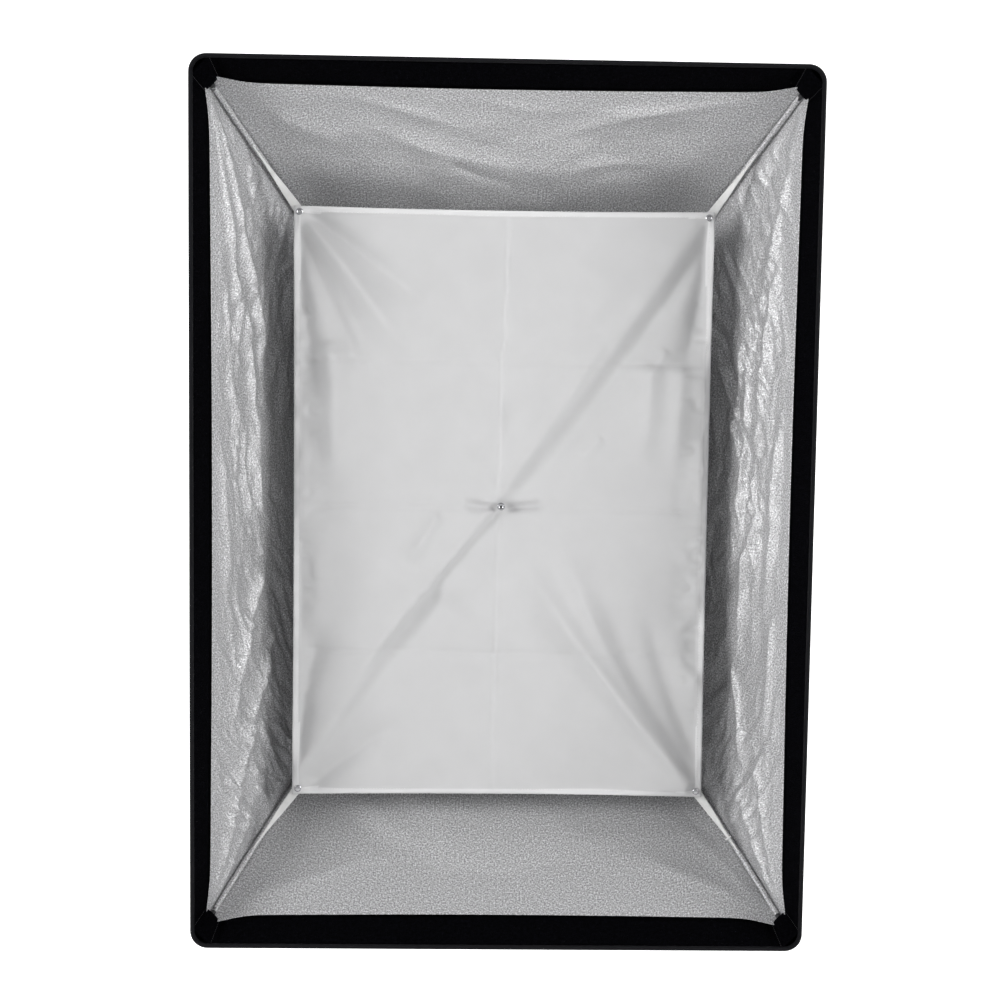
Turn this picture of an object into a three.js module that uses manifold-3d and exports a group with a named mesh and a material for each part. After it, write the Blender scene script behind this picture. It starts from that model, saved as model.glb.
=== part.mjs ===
// Rectangular strip softbox on a speedring with a three-lug bayonet insert.
// Millimetres. +Z is up, the open front faces -Y, and +X is to the right seen from the front.
// The origin is the centre of the bayonet insert's seat, on the lamp's axis.

import * as THREE from 'three';
import { mergeVertices } from 'three/addons/utils/BufferGeometryUtils.js';
import Module from 'manifold-3d';

const wasm = await Module();
wasm.setup();

// Clearance between pieces that touch on the real object.
const GAP = 0.4;

// Front: the open face and the lip that the outer diffuser would fasten to.
const FRONT_WIDTH = 700;
const FRONT_HEIGHT = 1000;
const FRONT_Y = -430;
const BINDING_DEPTH = 3;
const BINDING_WIDTH = 4.4;
const LIP_FRONT_Y = FRONT_Y + BINDING_DEPTH + GAP;
const LIP_REAR_Y = -380;
const LIP_REAR_WIDTH = 680;
const LIP_REAR_HEIGHT = 966;
const LIP_THICKNESS = 1.6;
const FRONT_CORNER_RADIUS = 20;
const LIP_REAR_CORNER_RADIUS = 6;
const CORNER_STEPS = 6;

// Hook tape inside the lip.
const TAPE_THICKNESS = 2;
const TAPE_START = 0.1;
const TAPE_STOP = 0.92;
const TAPE_END_MARGIN = 31;

// Pockets across the lip's corners that take the rod ends.
const POCKET_THICKNESS = 1.4;
const POCKET_START = 0.02;
const POCKET_STOP = 0.94;
const POCKET_REAR_LEG = 20;
const POCKET_FRONT_LEG = 25;
const POCKET_CLEARANCE = 2.6;

// Shell: four fabric walls from the speedring to the lip, bowed by the rods.
const SHELL_REAR_Y = -24;
const SHELL_REAR_HALF = 82;
const SHELL_THICKNESS = 1.6;
const SHELL_STEPS = 10;
const BOW_X = 28;
const BOW_Z = 43;
const LINING_GAP = 0.6;
const LINING_THICKNESS = 1;
const LINING_INSET = SHELL_THICKNESS + LINING_GAP;

// Spring rods from the speedring's bosses to the lip's corners.
const ROD_RADIUS = 2;
const ROD_SIDES = 8;
const ROD_STEPS = 20;
const ROD_INSET = 8.6;
const ROD_REAR_OFFSET = new THREE.Vector2(37.4, 21.4);
const ROD_END_T = 1.01;
const CAP_RADIUS = 3;
const CAP_LENGTH = 14;
const CAP_BORE_DEPTH = 8;

// Inner baffle, its snaps and its straps.
const BAFFLE_WIDTH = 500;
const BAFFLE_HEIGHT = 708;
const BAFFLE_FRONT_Y = -312.5;
const BAFFLE_THICKNESS = 1.2;
const BAFFLE_REAR_Y = BAFFLE_FRONT_Y + BAFFLE_THICKNESS;
const SNAP_INSET = 7;
const SNAP_HOLE_RADIUS = 2.2;
const SNAP_SHAFT_RADIUS = 1.8;
const SNAP_CAP_RADIUS = 4.2;
const SNAP_CAP_HEIGHT = 1.7;
const SNAP_FLANGE_THICKNESS = 0.9;
const STUD_RADIUS = 4.6;
const STUD_RECESS_RADIUS = 1.7;
const STRAP_WIDTH = 10;
const STRAP_THICKNESS = 1;
const STRAP_FRONT_Y = BAFFLE_REAR_Y + GAP + SNAP_FLANGE_THICKNESS + GAP;
const STRAP_Y = STRAP_FRONT_Y + STRAP_THICKNESS / 2;
const LOOP_RADIUS = 3.4;
const LOOP_BORE_RADIUS = 2.5;
const LOOP_LENGTH = 10;

// Speedring, a cast ring with four inclined rod bosses and a boss for the lock screw.
const RING_FRONT_Y = -22;
const RING_REAR_Y = -3.6;
const RING_RADIUS = 76;
const RING_BORE_RADIUS = 56;
const RING_CHAMFER = 1.5;
const COUNTERBORE_RADIUS = 62.4;
const COUNTERBORE_Y = -12.4;
const BOSS_RADIUS = 6.5;
const BOSS_WALL = 5;
const BOSS_STOP_T = 0.034;
const BOSS_BORE_RADIUS = 2.45;
const LOCK_Y = -8;
const LOCK_HOLE_RADIUS = 3.4;
const ROUND_SEGMENTS = 56;
const SMALL_SEGMENTS = 16;

// Bayonet insert, which turns in the speedring and carries the lamp's three lugs.
const INSERT_RIM_RADIUS = 62;
const INSERT_RIM_REAR_Y = -4;
const INSERT_FRONT_Y = -12;
const SEAT_OUTER_RADIUS = 57;
const COLLAR_RADIUS = 44;
const PORT_RADIUS = 40;
const COLLAR_REAR_Y = 10;
const LUG_RADIUS = 48.5;
const LUG_THICKNESS = 3;
const LUG_HALF_ANGLE = THREE.MathUtils.degToRad(17.5);
const LUG_COUNT = 3;

// Clips and screws that hold the insert in the speedring.
const CLIP_COUNT = 3;
const CLIP_INNER_RADIUS = 59;
const CLIP_HALF_WIDTH = 6;
const CLIP_END_RADIUS = 67;
const CLIP_FRONT_Y = -3.3;
const CLIP_THICKNESS = 1.4;
const SCREW_CIRCLE_RADIUS = 69.2;
const SCREW_RADIUS = 1.5;
const SCREW_HOLE_RADIUS = 1.9;
const SCREW_HEAD_RADIUS = 3;
const SCREW_HEAD_HEIGHT = 1.2;
const SCREW_TIP_Y = -9.6;
const SCREW_HOLE_Y = -10.2;
const SCREW_RECESS_RADIUS = 1.4;
const SCREW_RECESS_DEPTH = 0.7;

// Thumbscrew under the speedring that locks the insert's rotation.
const LOCK_TIP_RADIUS = 63.5;
const LOCK_SHANK_RADIUS = 3;
const LOCK_HEAD_START = 91;
const LOCK_NECK_RADIUS = 6;
const LOCK_NECK_LENGTH = 4;
const LOCK_HEAD_RADIUS = 11;
const LOCK_HEAD_LENGTH = 12;
const LOCK_FLUTES = 12;
const LOCK_FLUTE_DEPTH = 0.7;
const LOCK_FLUTE_STEPS = 5;

// Rear collar: two sewn walls and two side flaps that open for access to the rods.
const COLLAR_WALL_THICKNESS = 1.6;
const COLLAR_WALL_FRONT_Y = -22;
const COLLAR_WALL_REAR_Y = 30;
const NOTCH_HALF_WIDTH = 5;
const NOTCH_FRONT_Y = -14;
const FLAP_FRONT_Y = -21.2;
const FLAP_REAR_Y = 30;
const FLAP_TAB_FRONT_Y = -4;
const FLAP_TAB_REAR_Y = 22;
const FLAP_TAB_REACH = 28;

const CORNERS = [
  { name: 'top_right', x: 1, z: 1 },
  { name: 'top_left', x: -1, z: 1 },
  { name: 'bottom_left', x: -1, z: -1 },
  { name: 'bottom_right', x: 1, z: -1 },
];

const WALLS = [
  { name: 'top', upright: false, sign: 1 },
  { name: 'bottom', upright: false, sign: -1 },
  { name: 'left', upright: true, sign: -1 },
  { name: 'right', upright: true, sign: 1 },
];

const { lerp } = THREE.MathUtils;

function finish(color, roughness, metalness) {
  return new THREE.MeshStandardMaterial({ color, roughness, metalness });
}

const FINISHES = {
  blackNylon: finish(0x17171a, 0.8, 0),
  silverLining: finish(0xb9babd, 0.45, 0.7),
  hookTape: finish(0x08080a, 1, 0),
  whiteFabric: finish(0xe9e9ea, 0.9, 0),
  whiteTape: finish(0xf2f2f0, 0.8, 0),
  springSteel: finish(0x9a9a9c, 0.35, 1),
  castAluminium: finish(0x8e9093, 0.5, 0.9),
  chrome: finish(0xd5d5d8, 0.15, 1),
  knobPlastic: finish(0x151517, 0.55, 0),
};

// ---- Helpers for closed meshes ----

function signedVolume(geometry) {
  const corner = new THREE.Vector3();
  const next = new THREE.Vector3();
  const last = new THREE.Vector3();
  const { position } = geometry.attributes;
  let volume = 0;
  for (let i = 0; i < geometry.index.count; i += 3) {
    corner.fromBufferAttribute(position, geometry.index.getX(i));
    next.fromBufferAttribute(position, geometry.index.getX(i + 1));
    last.fromBufferAttribute(position, geometry.index.getX(i + 2));
    volume += corner.dot(next.cross(last)) / 6;
  }
  return volume;
}

// Keeps only positions, merges shared vertices, drops empty triangles and turns the faces outward.
function closedGeometry(geometry) {
  geometry.deleteAttribute('normal');
  geometry.deleteAttribute('uv');
  const merged = mergeVertices(geometry, 1e-4);
  const kept = [];
  for (let i = 0; i < merged.index.count; i += 3) {
    const triangle = [0, 1, 2].map((k) => merged.index.getX(i + k));
    if (new Set(triangle).size === 3) kept.push(...triangle);
  }
  merged.setIndex(kept);
  if (signedVolume(merged) < 0) merged.setIndex(kept.reverse());
  merged.computeVertexNormals();
  return merged;
}

function solidFrom(geometry) {
  const closed = closedGeometry(geometry);
  const vertProperties = new Float32Array(closed.attributes.position.array);
  const triVerts = new Uint32Array(closed.index.array);
  return new wasm.Manifold(new wasm.Mesh({ numProp: 3, vertProperties, triVerts }));
}

function geometryFrom(solid) {
  const mesh = solid.getMesh();
  const geometry = new THREE.BufferGeometry();
  geometry.setAttribute('position', new THREE.BufferAttribute(mesh.vertProperties, 3));
  geometry.setIndex(new THREE.BufferAttribute(mesh.triVerts, 1));
  return closedGeometry(geometry);
}

// A closed sheet between two grids of points with the same rows and columns.
function sheetBetween(outer, inner) {
  const rows = outer.length;
  const columns = outer[0].length;
  const lastRow = rows - 1;
  const lastColumn = columns - 1;
  const index = [];
  const out = (i, j) => i * columns + j;
  const into = (i, j) => rows * columns + out(i, j);
  const quad = (a, b, c, d) => index.push(a, b, c, a, c, d);
  for (let i = 0; i < lastRow; i += 1) {
    for (let j = 0; j < lastColumn; j += 1) {
      quad(out(i, j), out(i, j + 1), out(i + 1, j + 1), out(i + 1, j));
      quad(into(i, j), into(i + 1, j), into(i + 1, j + 1), into(i, j + 1));
    }
    quad(out(i, 0), out(i + 1, 0), into(i + 1, 0), into(i, 0));
    quad(out(i + 1, lastColumn), out(i, lastColumn), into(i, lastColumn), into(i + 1, lastColumn));
  }
  for (let j = 0; j < lastColumn; j += 1) {
    quad(out(0, j + 1), out(0, j), into(0, j), into(0, j + 1));
    quad(out(lastRow, j), out(lastRow, j + 1), into(lastRow, j + 1), into(lastRow, j));
  }
  const geometry = new THREE.BufferGeometry().setFromPoints([...outer.flat(), ...inner.flat()]);
  geometry.setIndex(index);
  return closedGeometry(geometry);
}

function box(low, high) {
  const size = new THREE.Vector3(...high).sub(new THREE.Vector3(...low));
  const middle = new THREE.Vector3(...high).add(new THREE.Vector3(...low)).multiplyScalar(0.5);
  return new THREE.BoxGeometry(size.x, size.y, size.z).translate(middle.x, middle.y, middle.z);
}

// Turned solid about the Y axis. The outline closes on itself unless it starts and ends on the axis.
function turned(outline, segments = SMALL_SEGMENTS) {
  const points = outline.map(([radius, y]) => new THREE.Vector2(radius, y));
  if (points[0].x > 0) points.push(points[0].clone());
  return new THREE.LatheGeometry(points, segments);
}

function alongDirection(geometry, start, direction) {
  const turn = new THREE.Quaternion().setFromUnitVectors(new THREE.Vector3(0, 1, 0), direction);
  return geometry.applyQuaternion(turn).translate(start.x, start.y, start.z);
}

function cylinderBetween(start, end, radius, segments = SMALL_SEGMENTS) {
  const direction = end.clone().sub(start);
  const length = direction.length();
  const cylinder = new THREE.CylinderGeometry(radius, radius, length, segments);
  return alongDirection(cylinder.translate(0, length / 2, 0), start, direction.normalize());
}

// Plate of an outline drawn in X and Z, from frontY to rearY.
function plate(shape, frontY, rearY, curveSegments = CORNER_STEPS) {
  const options = { depth: rearY - frontY, bevelEnabled: false, curveSegments };
  return new THREE.ExtrudeGeometry(shape, options).rotateX(Math.PI / 2).translate(0, rearY, 0);
}

function roundedRectangle(halfWidth, halfHeight, radius) {
  const shape = new THREE.Shape();
  shape.absarc(halfWidth - radius, halfHeight - radius, radius, 0, Math.PI / 2);
  shape.absarc(radius - halfWidth, halfHeight - radius, radius, Math.PI / 2, Math.PI);
  shape.absarc(radius - halfWidth, radius - halfHeight, radius, Math.PI, 1.5 * Math.PI);
  shape.absarc(halfWidth - radius, radius - halfHeight, radius, 1.5 * Math.PI, 2 * Math.PI);
  return shape;
}

function mirrored(geometry, corner) {
  return closedGeometry(geometry.clone().scale(corner.x, 1, corner.z));
}

function part(name, geometry, material) {
  const mesh = new THREE.Mesh(closedGeometry(geometry), material);
  mesh.name = name;
  return mesh;
}

// ---- The box's form ----

// Half sizes of the shell between its rear edge, t = 0, and the lip, t = 1.
function shellStation(t) {
  const bow = 4 * t * (1 - t);
  return {
    y: lerp(SHELL_REAR_Y, LIP_REAR_Y, t),
    halfWidth: lerp(SHELL_REAR_HALF, LIP_REAR_WIDTH / 2, t) + BOW_X * bow,
    halfHeight: lerp(SHELL_REAR_HALF, LIP_REAR_HEIGHT / 2, t) + BOW_Z * bow,
  };
}

// Half sizes of the lip between its rear edge, s = 0, and its front edge, s = 1.
function lipStation(s) {
  return {
    y: lerp(LIP_REAR_Y, LIP_FRONT_Y, s),
    halfWidth: lerp(LIP_REAR_WIDTH, FRONT_WIDTH, s) / 2,
    halfHeight: lerp(LIP_REAR_HEIGHT, FRONT_HEIGHT, s) / 2,
    radius: lerp(LIP_REAR_CORNER_RADIUS, FRONT_CORNER_RADIUS, s),
  };
}

function shellStations() {
  return Array.from({ length: SHELL_STEPS + 1 }, (_, i) => shellStation(i / SHELL_STEPS));
}

// The two ends of a wall's row at one station, inset from the outer face and from the corners.
function wallRow(wall, station, inset, endInset) {
  const { y, halfWidth, halfHeight } = station;
  return [-1, 1].map((end) => {
    if (wall.upright) {
      return new THREE.Vector3(wall.sign * (halfWidth - inset), y, end * (halfHeight - endInset));
    }
    return new THREE.Vector3(end * (halfWidth - endInset), y, wall.sign * (halfHeight - inset));
  });
}

function wallPanel(wall, stations, inset, thickness, endInset) {
  const outer = stations.map((station) => wallRow(wall, station, inset, endInset(station)));
  const inner = stations.map((station) => wallRow(wall, station, inset + thickness, endInset(station)));
  return sheetBetween(outer, inner);
}

// Centre line of the rod in the top right corner.
function rodPoint(t) {
  const { y, halfWidth, halfHeight } = shellStation(t);
  const rear = (1 - t) ** 2;
  return new THREE.Vector3(
    halfWidth - ROD_INSET - ROD_REAR_OFFSET.x * rear,
    y,
    halfHeight - ROD_INSET - ROD_REAR_OFFSET.y * rear,
  );
}

class RodCurve extends THREE.Curve {
  getPoint(u, target = new THREE.Vector3()) {
    return target.copy(rodPoint(u * ROD_END_T));
  }
}

function rodDirection(t) {
  const step = 0.002;
  return rodPoint(t + step).sub(rodPoint(t - step)).normalize();
}

// ---- Fabric pieces ----

function shellWall(wall) {
  const endInset = wall.upright ? SHELL_THICKNESS + GAP : 0;
  return wallPanel(wall, shellStations(), 0, SHELL_THICKNESS, () => endInset);
}

function liningWall(wall) {
  const endInset = wall.upright ? LINING_INSET + LINING_THICKNESS + GAP : LINING_INSET;
  return wallPanel(wall, shellStations(), LINING_INSET, LINING_THICKNESS, () => endInset);
}

// The lip starts just in front of the shell, with the clearance of the seam between them.
function lipEnds() {
  const rear = lipStation(0);
  return [{ ...rear, y: rear.y - GAP }, lipStation(1)];
}

function lipStrip(wall) {
  return wallPanel(wall, lipEnds(), 0, LIP_THICKNESS, (station) => station.radius + GAP / 2);
}

function tapeStrip(wall) {
  const stations = [lipStation(TAPE_START), lipStation(TAPE_STOP)];
  return wallPanel(wall, stations, LIP_THICKNESS + GAP, TAPE_THICKNESS, () => TAPE_END_MARGIN);
}

function cornerArc(station, inset) {
  const { y, halfWidth, halfHeight, radius } = station;
  const gapAngle = GAP / 2 / (radius - LIP_THICKNESS);
  const points = [];
  for (let i = 0; i <= CORNER_STEPS; i += 1) {
    const angle = lerp(gapAngle, Math.PI / 2 - gapAngle, i / CORNER_STEPS);
    const x = halfWidth - radius + (radius - inset) * Math.sin(angle);
    const z = halfHeight - radius + (radius - inset) * Math.cos(angle);
    points.push(new THREE.Vector3(x, y, z));
  }
  return points;
}

function lipCorner() {
  const outer = lipEnds().map((station) => cornerArc(station, 0));
  const inner = lipEnds().map((station) => cornerArc(station, LIP_THICKNESS));
  return sheetBetween(outer, inner);
}

function pocketRow(station, leg, inset) {
  const { y, halfWidth, halfHeight } = station;
  const near = POCKET_CLEARANCE;
  const ends = [[leg, near], [near, leg]];
  return ends.map(([x, z]) => new THREE.Vector3(halfWidth - x - inset, y, halfHeight - z - inset));
}

function cornerPocket() {
  const rear = lipStation(POCKET_START);
  const front = lipStation(POCKET_STOP);
  const rows = (inset) => [
    pocketRow(rear, POCKET_REAR_LEG, inset),
    pocketRow(front, POCKET_FRONT_LEG, inset),
  ];
  return sheetBetween(rows(0), rows(POCKET_THICKNESS / Math.SQRT2));
}

function frontBinding() {
  const outline = roundedRectangle(FRONT_WIDTH / 2, FRONT_HEIGHT / 2, FRONT_CORNER_RADIUS);
  const opening = roundedRectangle(
    FRONT_WIDTH / 2 - BINDING_WIDTH,
    FRONT_HEIGHT / 2 - BINDING_WIDTH,
    FRONT_CORNER_RADIUS - BINDING_WIDTH,
  );
  outline.holes.push(opening);
  return plate(outline, FRONT_Y, FRONT_Y + BINDING_DEPTH);
}

function snapPlaces() {
  return CORNERS.map((corner) => ({
    name: corner.name,
    x: corner.x * (BAFFLE_WIDTH / 2 - SNAP_INSET),
    z: corner.z * (BAFFLE_HEIGHT / 2 - SNAP_INSET),
  }));
}

function baffleSheet() {
  const sheet = new THREE.Shape([
    new THREE.Vector2(-BAFFLE_WIDTH / 2, -BAFFLE_HEIGHT / 2),
    new THREE.Vector2(BAFFLE_WIDTH / 2, -BAFFLE_HEIGHT / 2),
    new THREE.Vector2(BAFFLE_WIDTH / 2, BAFFLE_HEIGHT / 2),
    new THREE.Vector2(-BAFFLE_WIDTH / 2, BAFFLE_HEIGHT / 2),
  ]);
  for (const place of [...snapPlaces(), { x: 0, z: 0 }]) {
    sheet.holes.push(new THREE.Path().absarc(place.x, place.z, SNAP_HOLE_RADIUS, 0, 2 * Math.PI));
  }
  return plate(sheet, BAFFLE_FRONT_Y, BAFFLE_REAR_Y, SMALL_SEGMENTS);
}

function baffleSnap() {
  const capRear = BAFFLE_FRONT_Y - GAP;
  const capFront = capRear - SNAP_CAP_HEIGHT;
  const flangeFront = BAFFLE_REAR_Y + GAP;
  return turned([
    [0, capFront],
    [SNAP_CAP_RADIUS * 0.6, capFront],
    [SNAP_CAP_RADIUS, lerp(capFront, capRear, 0.6)],
    [SNAP_CAP_RADIUS, capRear],
    [SNAP_SHAFT_RADIUS, capRear],
    [SNAP_SHAFT_RADIUS, flangeFront],
    [SNAP_CAP_RADIUS, flangeFront],
    [SNAP_CAP_RADIUS, flangeFront + SNAP_FLANGE_THICKNESS],
    [0, flangeFront + SNAP_FLANGE_THICKNESS],
  ]);
}

function centreStud() {
  const capRear = BAFFLE_FRONT_Y - GAP;
  const capFront = capRear - SNAP_CAP_HEIGHT;
  const flangeFront = BAFFLE_REAR_Y + GAP;
  return turned([
    [0, lerp(capFront, capRear, 0.7)],
    [STUD_RECESS_RADIUS, lerp(capFront, capRear, 0.7)],
    [STUD_RECESS_RADIUS, capFront],
    [STUD_RADIUS * 0.8, capFront],
    [STUD_RADIUS, lerp(capFront, capRear, 0.5)],
    [STUD_RADIUS, capRear],
    [SNAP_SHAFT_RADIUS, capRear],
    [SNAP_SHAFT_RADIUS, flangeFront],
    [STUD_RADIUS, flangeFront],
    [STUD_RADIUS, flangeFront + SNAP_FLANGE_THICKNESS],
    [0, flangeFront + SNAP_FLANGE_THICKNESS],
  ]);
}

// Tape from behind the baffle's top right corner to a sewn loop round the rod.
function baffleStrap() {
  const rodT = (STRAP_Y - SHELL_REAR_Y) / (LIP_REAR_Y - SHELL_REAR_Y);
  const loopCentre = rodPoint(rodT);
  const loopReach = rodDirection(rodT).multiplyScalar(LOOP_LENGTH / 2);
  const start = new THREE.Vector2(BAFFLE_WIDTH / 2 - SNAP_INSET, BAFFLE_HEIGHT / 2 - SNAP_INSET);
  const end = new THREE.Vector2(loopCentre.x, loopCentre.z);
  const angle = end.clone().sub(start).angle();
  const length = end.distanceTo(start);
  const tape = new THREE.Shape();
  tape.moveTo(length, STRAP_WIDTH / 2);
  tape.lineTo(0, STRAP_WIDTH / 2);
  tape.absarc(0, 0, STRAP_WIDTH / 2, Math.PI / 2, 1.5 * Math.PI);
  tape.lineTo(length, -STRAP_WIDTH / 2);
  const flat = plate(tape, STRAP_FRONT_Y, STRAP_FRONT_Y + STRAP_THICKNESS);
  const placed = flat.rotateY(-angle).translate(start.x, 0, start.y);
  const loopStart = loopCentre.clone().sub(loopReach);
  const loopEnd = loopCentre.clone().add(loopReach);
  const boreStart = loopCentre.clone().addScaledVector(loopReach, -2);
  const boreEnd = loopCentre.clone().addScaledVector(loopReach, 2);
  const loop = solidFrom(cylinderBetween(loopStart, loopEnd, LOOP_RADIUS));
  const bore = solidFrom(cylinderBetween(boreStart, boreEnd, LOOP_BORE_RADIUS));
  return geometryFrom(solidFrom(placed).add(loop).subtract(bore));
}

// ---- Rods ----

function rod() {
  const ring = Array.from({ length: ROD_SIDES }, (_, i) => {
    const angle = (2 * Math.PI * i) / ROD_SIDES;
    return new THREE.Vector2(ROD_RADIUS * Math.cos(angle), ROD_RADIUS * Math.sin(angle));
  });
  const options = { steps: ROD_STEPS, extrudePath: new RodCurve(), bevelEnabled: false };
  return new THREE.ExtrudeGeometry(new THREE.Shape(ring), options);
}

function rodCap() {
  const boreRadius = (CAP_RADIUS + ROD_RADIUS) / 2;
  const outline = turned([
    [0, CAP_LENGTH],
    [CAP_RADIUS * 0.6, CAP_LENGTH],
    [CAP_RADIUS, CAP_LENGTH - CAP_RADIUS / 2],
    [CAP_RADIUS, 0],
    [boreRadius, 0],
    [boreRadius, CAP_BORE_DEPTH],
    [0, CAP_BORE_DEPTH],
  ]);
  const direction = rodDirection(ROD_END_T);
  const start = rodPoint(ROD_END_T).addScaledVector(direction, GAP - CAP_BORE_DEPTH);
  return alongDirection(outline, start, direction);
}

// ---- Speedring, insert and their fixings ----

function ringBoss(corner) {
  const mirror = new THREE.Vector3(corner.x, 1, corner.z);
  const start = rodPoint(0).multiply(mirror);
  const end = rodPoint(BOSS_STOP_T).multiply(mirror);
  const direction = end.clone().sub(start).normalize();
  const closedEnd = start.clone().addScaledVector(direction, -BOSS_WALL);
  const boreStart = start.clone().addScaledVector(direction, -GAP);
  const boreEnd = end.clone().addScaledVector(direction, BOSS_WALL);
  return {
    body: solidFrom(cylinderBetween(closedEnd, end, BOSS_RADIUS)),
    bore: solidFrom(cylinderBetween(boreStart, boreEnd, BOSS_BORE_RADIUS)),
  };
}

function ringAngles(count) {
  return Array.from({ length: count }, (_, i) => Math.PI / 2 + (2 * Math.PI * i) / count);
}

function onCircle(radius, angle, y) {
  return new THREE.Vector3(radius * Math.cos(angle), y, radius * Math.sin(angle));
}

function speedring() {
  let ring = solidFrom(turned([
    [RING_BORE_RADIUS, RING_FRONT_Y],
    [RING_RADIUS - RING_CHAMFER, RING_FRONT_Y],
    [RING_RADIUS, RING_FRONT_Y + RING_CHAMFER],
    [RING_RADIUS, RING_REAR_Y - RING_CHAMFER],
    [RING_RADIUS - RING_CHAMFER, RING_REAR_Y],
    [COUNTERBORE_RADIUS, RING_REAR_Y],
    [COUNTERBORE_RADIUS, COUNTERBORE_Y],
    [RING_BORE_RADIUS, COUNTERBORE_Y],
  ], ROUND_SEGMENTS));
  const bosses = CORNERS.map(ringBoss);
  for (const boss of bosses) ring = ring.add(boss.body);
  for (const boss of bosses) ring = ring.subtract(boss.bore);
  const boreFront = new THREE.Vector3(0, 2 * RING_FRONT_Y, 0);
  const boreRear = new THREE.Vector3(0, COUNTERBORE_Y, 0);
  ring = ring.subtract(solidFrom(cylinderBetween(boreFront, boreRear, RING_BORE_RADIUS, ROUND_SEGMENTS)));
  for (const angle of ringAngles(CLIP_COUNT)) {
    const bottom = onCircle(SCREW_CIRCLE_RADIUS, angle, SCREW_HOLE_Y);
    const top = onCircle(SCREW_CIRCLE_RADIUS, angle, 0);
    ring = ring.subtract(solidFrom(cylinderBetween(bottom, top, SCREW_HOLE_RADIUS)));
  }
  const lockInner = new THREE.Vector3(0, LOCK_Y, -RING_BORE_RADIUS);
  const lockOuter = new THREE.Vector3(0, LOCK_Y, -2 * RING_BORE_RADIUS);
  ring = ring.subtract(solidFrom(cylinderBetween(lockInner, lockOuter, LOCK_HOLE_RADIUS)));
  return geometryFrom(ring);
}

function bayonetLug(angle) {
  const shape = new THREE.Shape();
  shape.absarc(0, 0, LUG_RADIUS, angle - LUG_HALF_ANGLE, angle + LUG_HALF_ANGLE);
  shape.absarc(0, 0, COLLAR_RADIUS - 1, angle + LUG_HALF_ANGLE, angle - LUG_HALF_ANGLE, true);
  return solidFrom(plate(shape, COLLAR_REAR_Y - LUG_THICKNESS, COLLAR_REAR_Y));
}

function bayonetInsert() {
  let insert = solidFrom(turned([
    [PORT_RADIUS, INSERT_FRONT_Y],
    [INSERT_RIM_RADIUS, INSERT_FRONT_Y],
    [INSERT_RIM_RADIUS, INSERT_RIM_REAR_Y],
    [SEAT_OUTER_RADIUS, INSERT_RIM_REAR_Y],
    [SEAT_OUTER_RADIUS, 0],
    [COLLAR_RADIUS, 0],
    [COLLAR_RADIUS, COLLAR_REAR_Y],
    [PORT_RADIUS, COLLAR_REAR_Y],
  ], ROUND_SEGMENTS));
  for (const angle of ringAngles(LUG_COUNT)) insert = insert.add(bayonetLug(angle));
  return geometryFrom(insert);
}

function retainingClip(angle) {
  const shape = new THREE.Shape();
  shape.moveTo(CLIP_INNER_RADIUS, CLIP_HALF_WIDTH);
  shape.lineTo(CLIP_INNER_RADIUS, -CLIP_HALF_WIDTH);
  shape.absarc(CLIP_END_RADIUS, 0, CLIP_HALF_WIDTH, -Math.PI / 2, Math.PI / 2);
  shape.holes.push(new THREE.Path().absarc(SCREW_CIRCLE_RADIUS, 0, SCREW_HOLE_RADIUS, 0, 2 * Math.PI));
  return plate(shape, CLIP_FRONT_Y, CLIP_FRONT_Y + CLIP_THICKNESS, SMALL_SEGMENTS).rotateY(-angle);
}

function clipScrew(angle) {
  const headFront = CLIP_FRONT_Y + CLIP_THICKNESS + GAP;
  const headRear = headFront + SCREW_HEAD_HEIGHT;
  const screw = solidFrom(turned([
    [0, SCREW_TIP_Y],
    [SCREW_RADIUS, SCREW_TIP_Y],
    [SCREW_RADIUS, headFront],
    [SCREW_HEAD_RADIUS, headFront],
    [SCREW_HEAD_RADIUS, headRear],
    [0, headRear],
  ]));
  const recessFront = new THREE.Vector3(0, headRear - SCREW_RECESS_DEPTH, 0);
  const recessRear = new THREE.Vector3(0, headRear + GAP, 0);
  const recess = solidFrom(cylinderBetween(recessFront, recessRear, SCREW_RECESS_RADIUS, 6));
  const place = onCircle(SCREW_CIRCLE_RADIUS, angle, 0);
  return geometryFrom(screw.subtract(recess)).translate(place.x, 0, place.z);
}

function fluteOutline() {
  const count = LOCK_FLUTES * LOCK_FLUTE_STEPS;
  const points = Array.from({ length: count }, (_, i) => {
    const angle = (2 * Math.PI * i) / count;
    const radius = LOCK_HEAD_RADIUS - LOCK_FLUTE_DEPTH * (1 + Math.cos(LOCK_FLUTES * angle));
    return new THREE.Vector2(radius * Math.cos(angle), radius * Math.sin(angle));
  });
  return new THREE.Shape(points);
}

function lockKnob() {
  const below = (radius) => new THREE.Vector3(0, LOCK_Y, -radius);
  const neckEnd = LOCK_HEAD_START + LOCK_NECK_LENGTH;
  const shank = solidFrom(cylinderBetween(below(LOCK_TIP_RADIUS), below(LOCK_HEAD_START + 1), LOCK_SHANK_RADIUS));
  const neck = solidFrom(cylinderBetween(below(LOCK_HEAD_START), below(neckEnd + 1), LOCK_NECK_RADIUS));
  const options = { depth: LOCK_HEAD_LENGTH, bevelEnabled: false };
  const head = new THREE.ExtrudeGeometry(fluteOutline(), options);
  head.translate(0, LOCK_Y, -neckEnd - LOCK_HEAD_LENGTH);
  return geometryFrom(shank.add(neck).add(solidFrom(head)));
}

// ---- Rear collar ----

function collarWall(sign) {
  const inner = SHELL_REAR_HALF - COLLAR_WALL_THICKNESS;
  const low = [-SHELL_REAR_HALF, COLLAR_WALL_FRONT_Y, Math.min(sign * inner, sign * SHELL_REAR_HALF)];
  const high = [SHELL_REAR_HALF, COLLAR_WALL_REAR_Y, Math.max(sign * inner, sign * SHELL_REAR_HALF)];
  return box(low, high);
}

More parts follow.
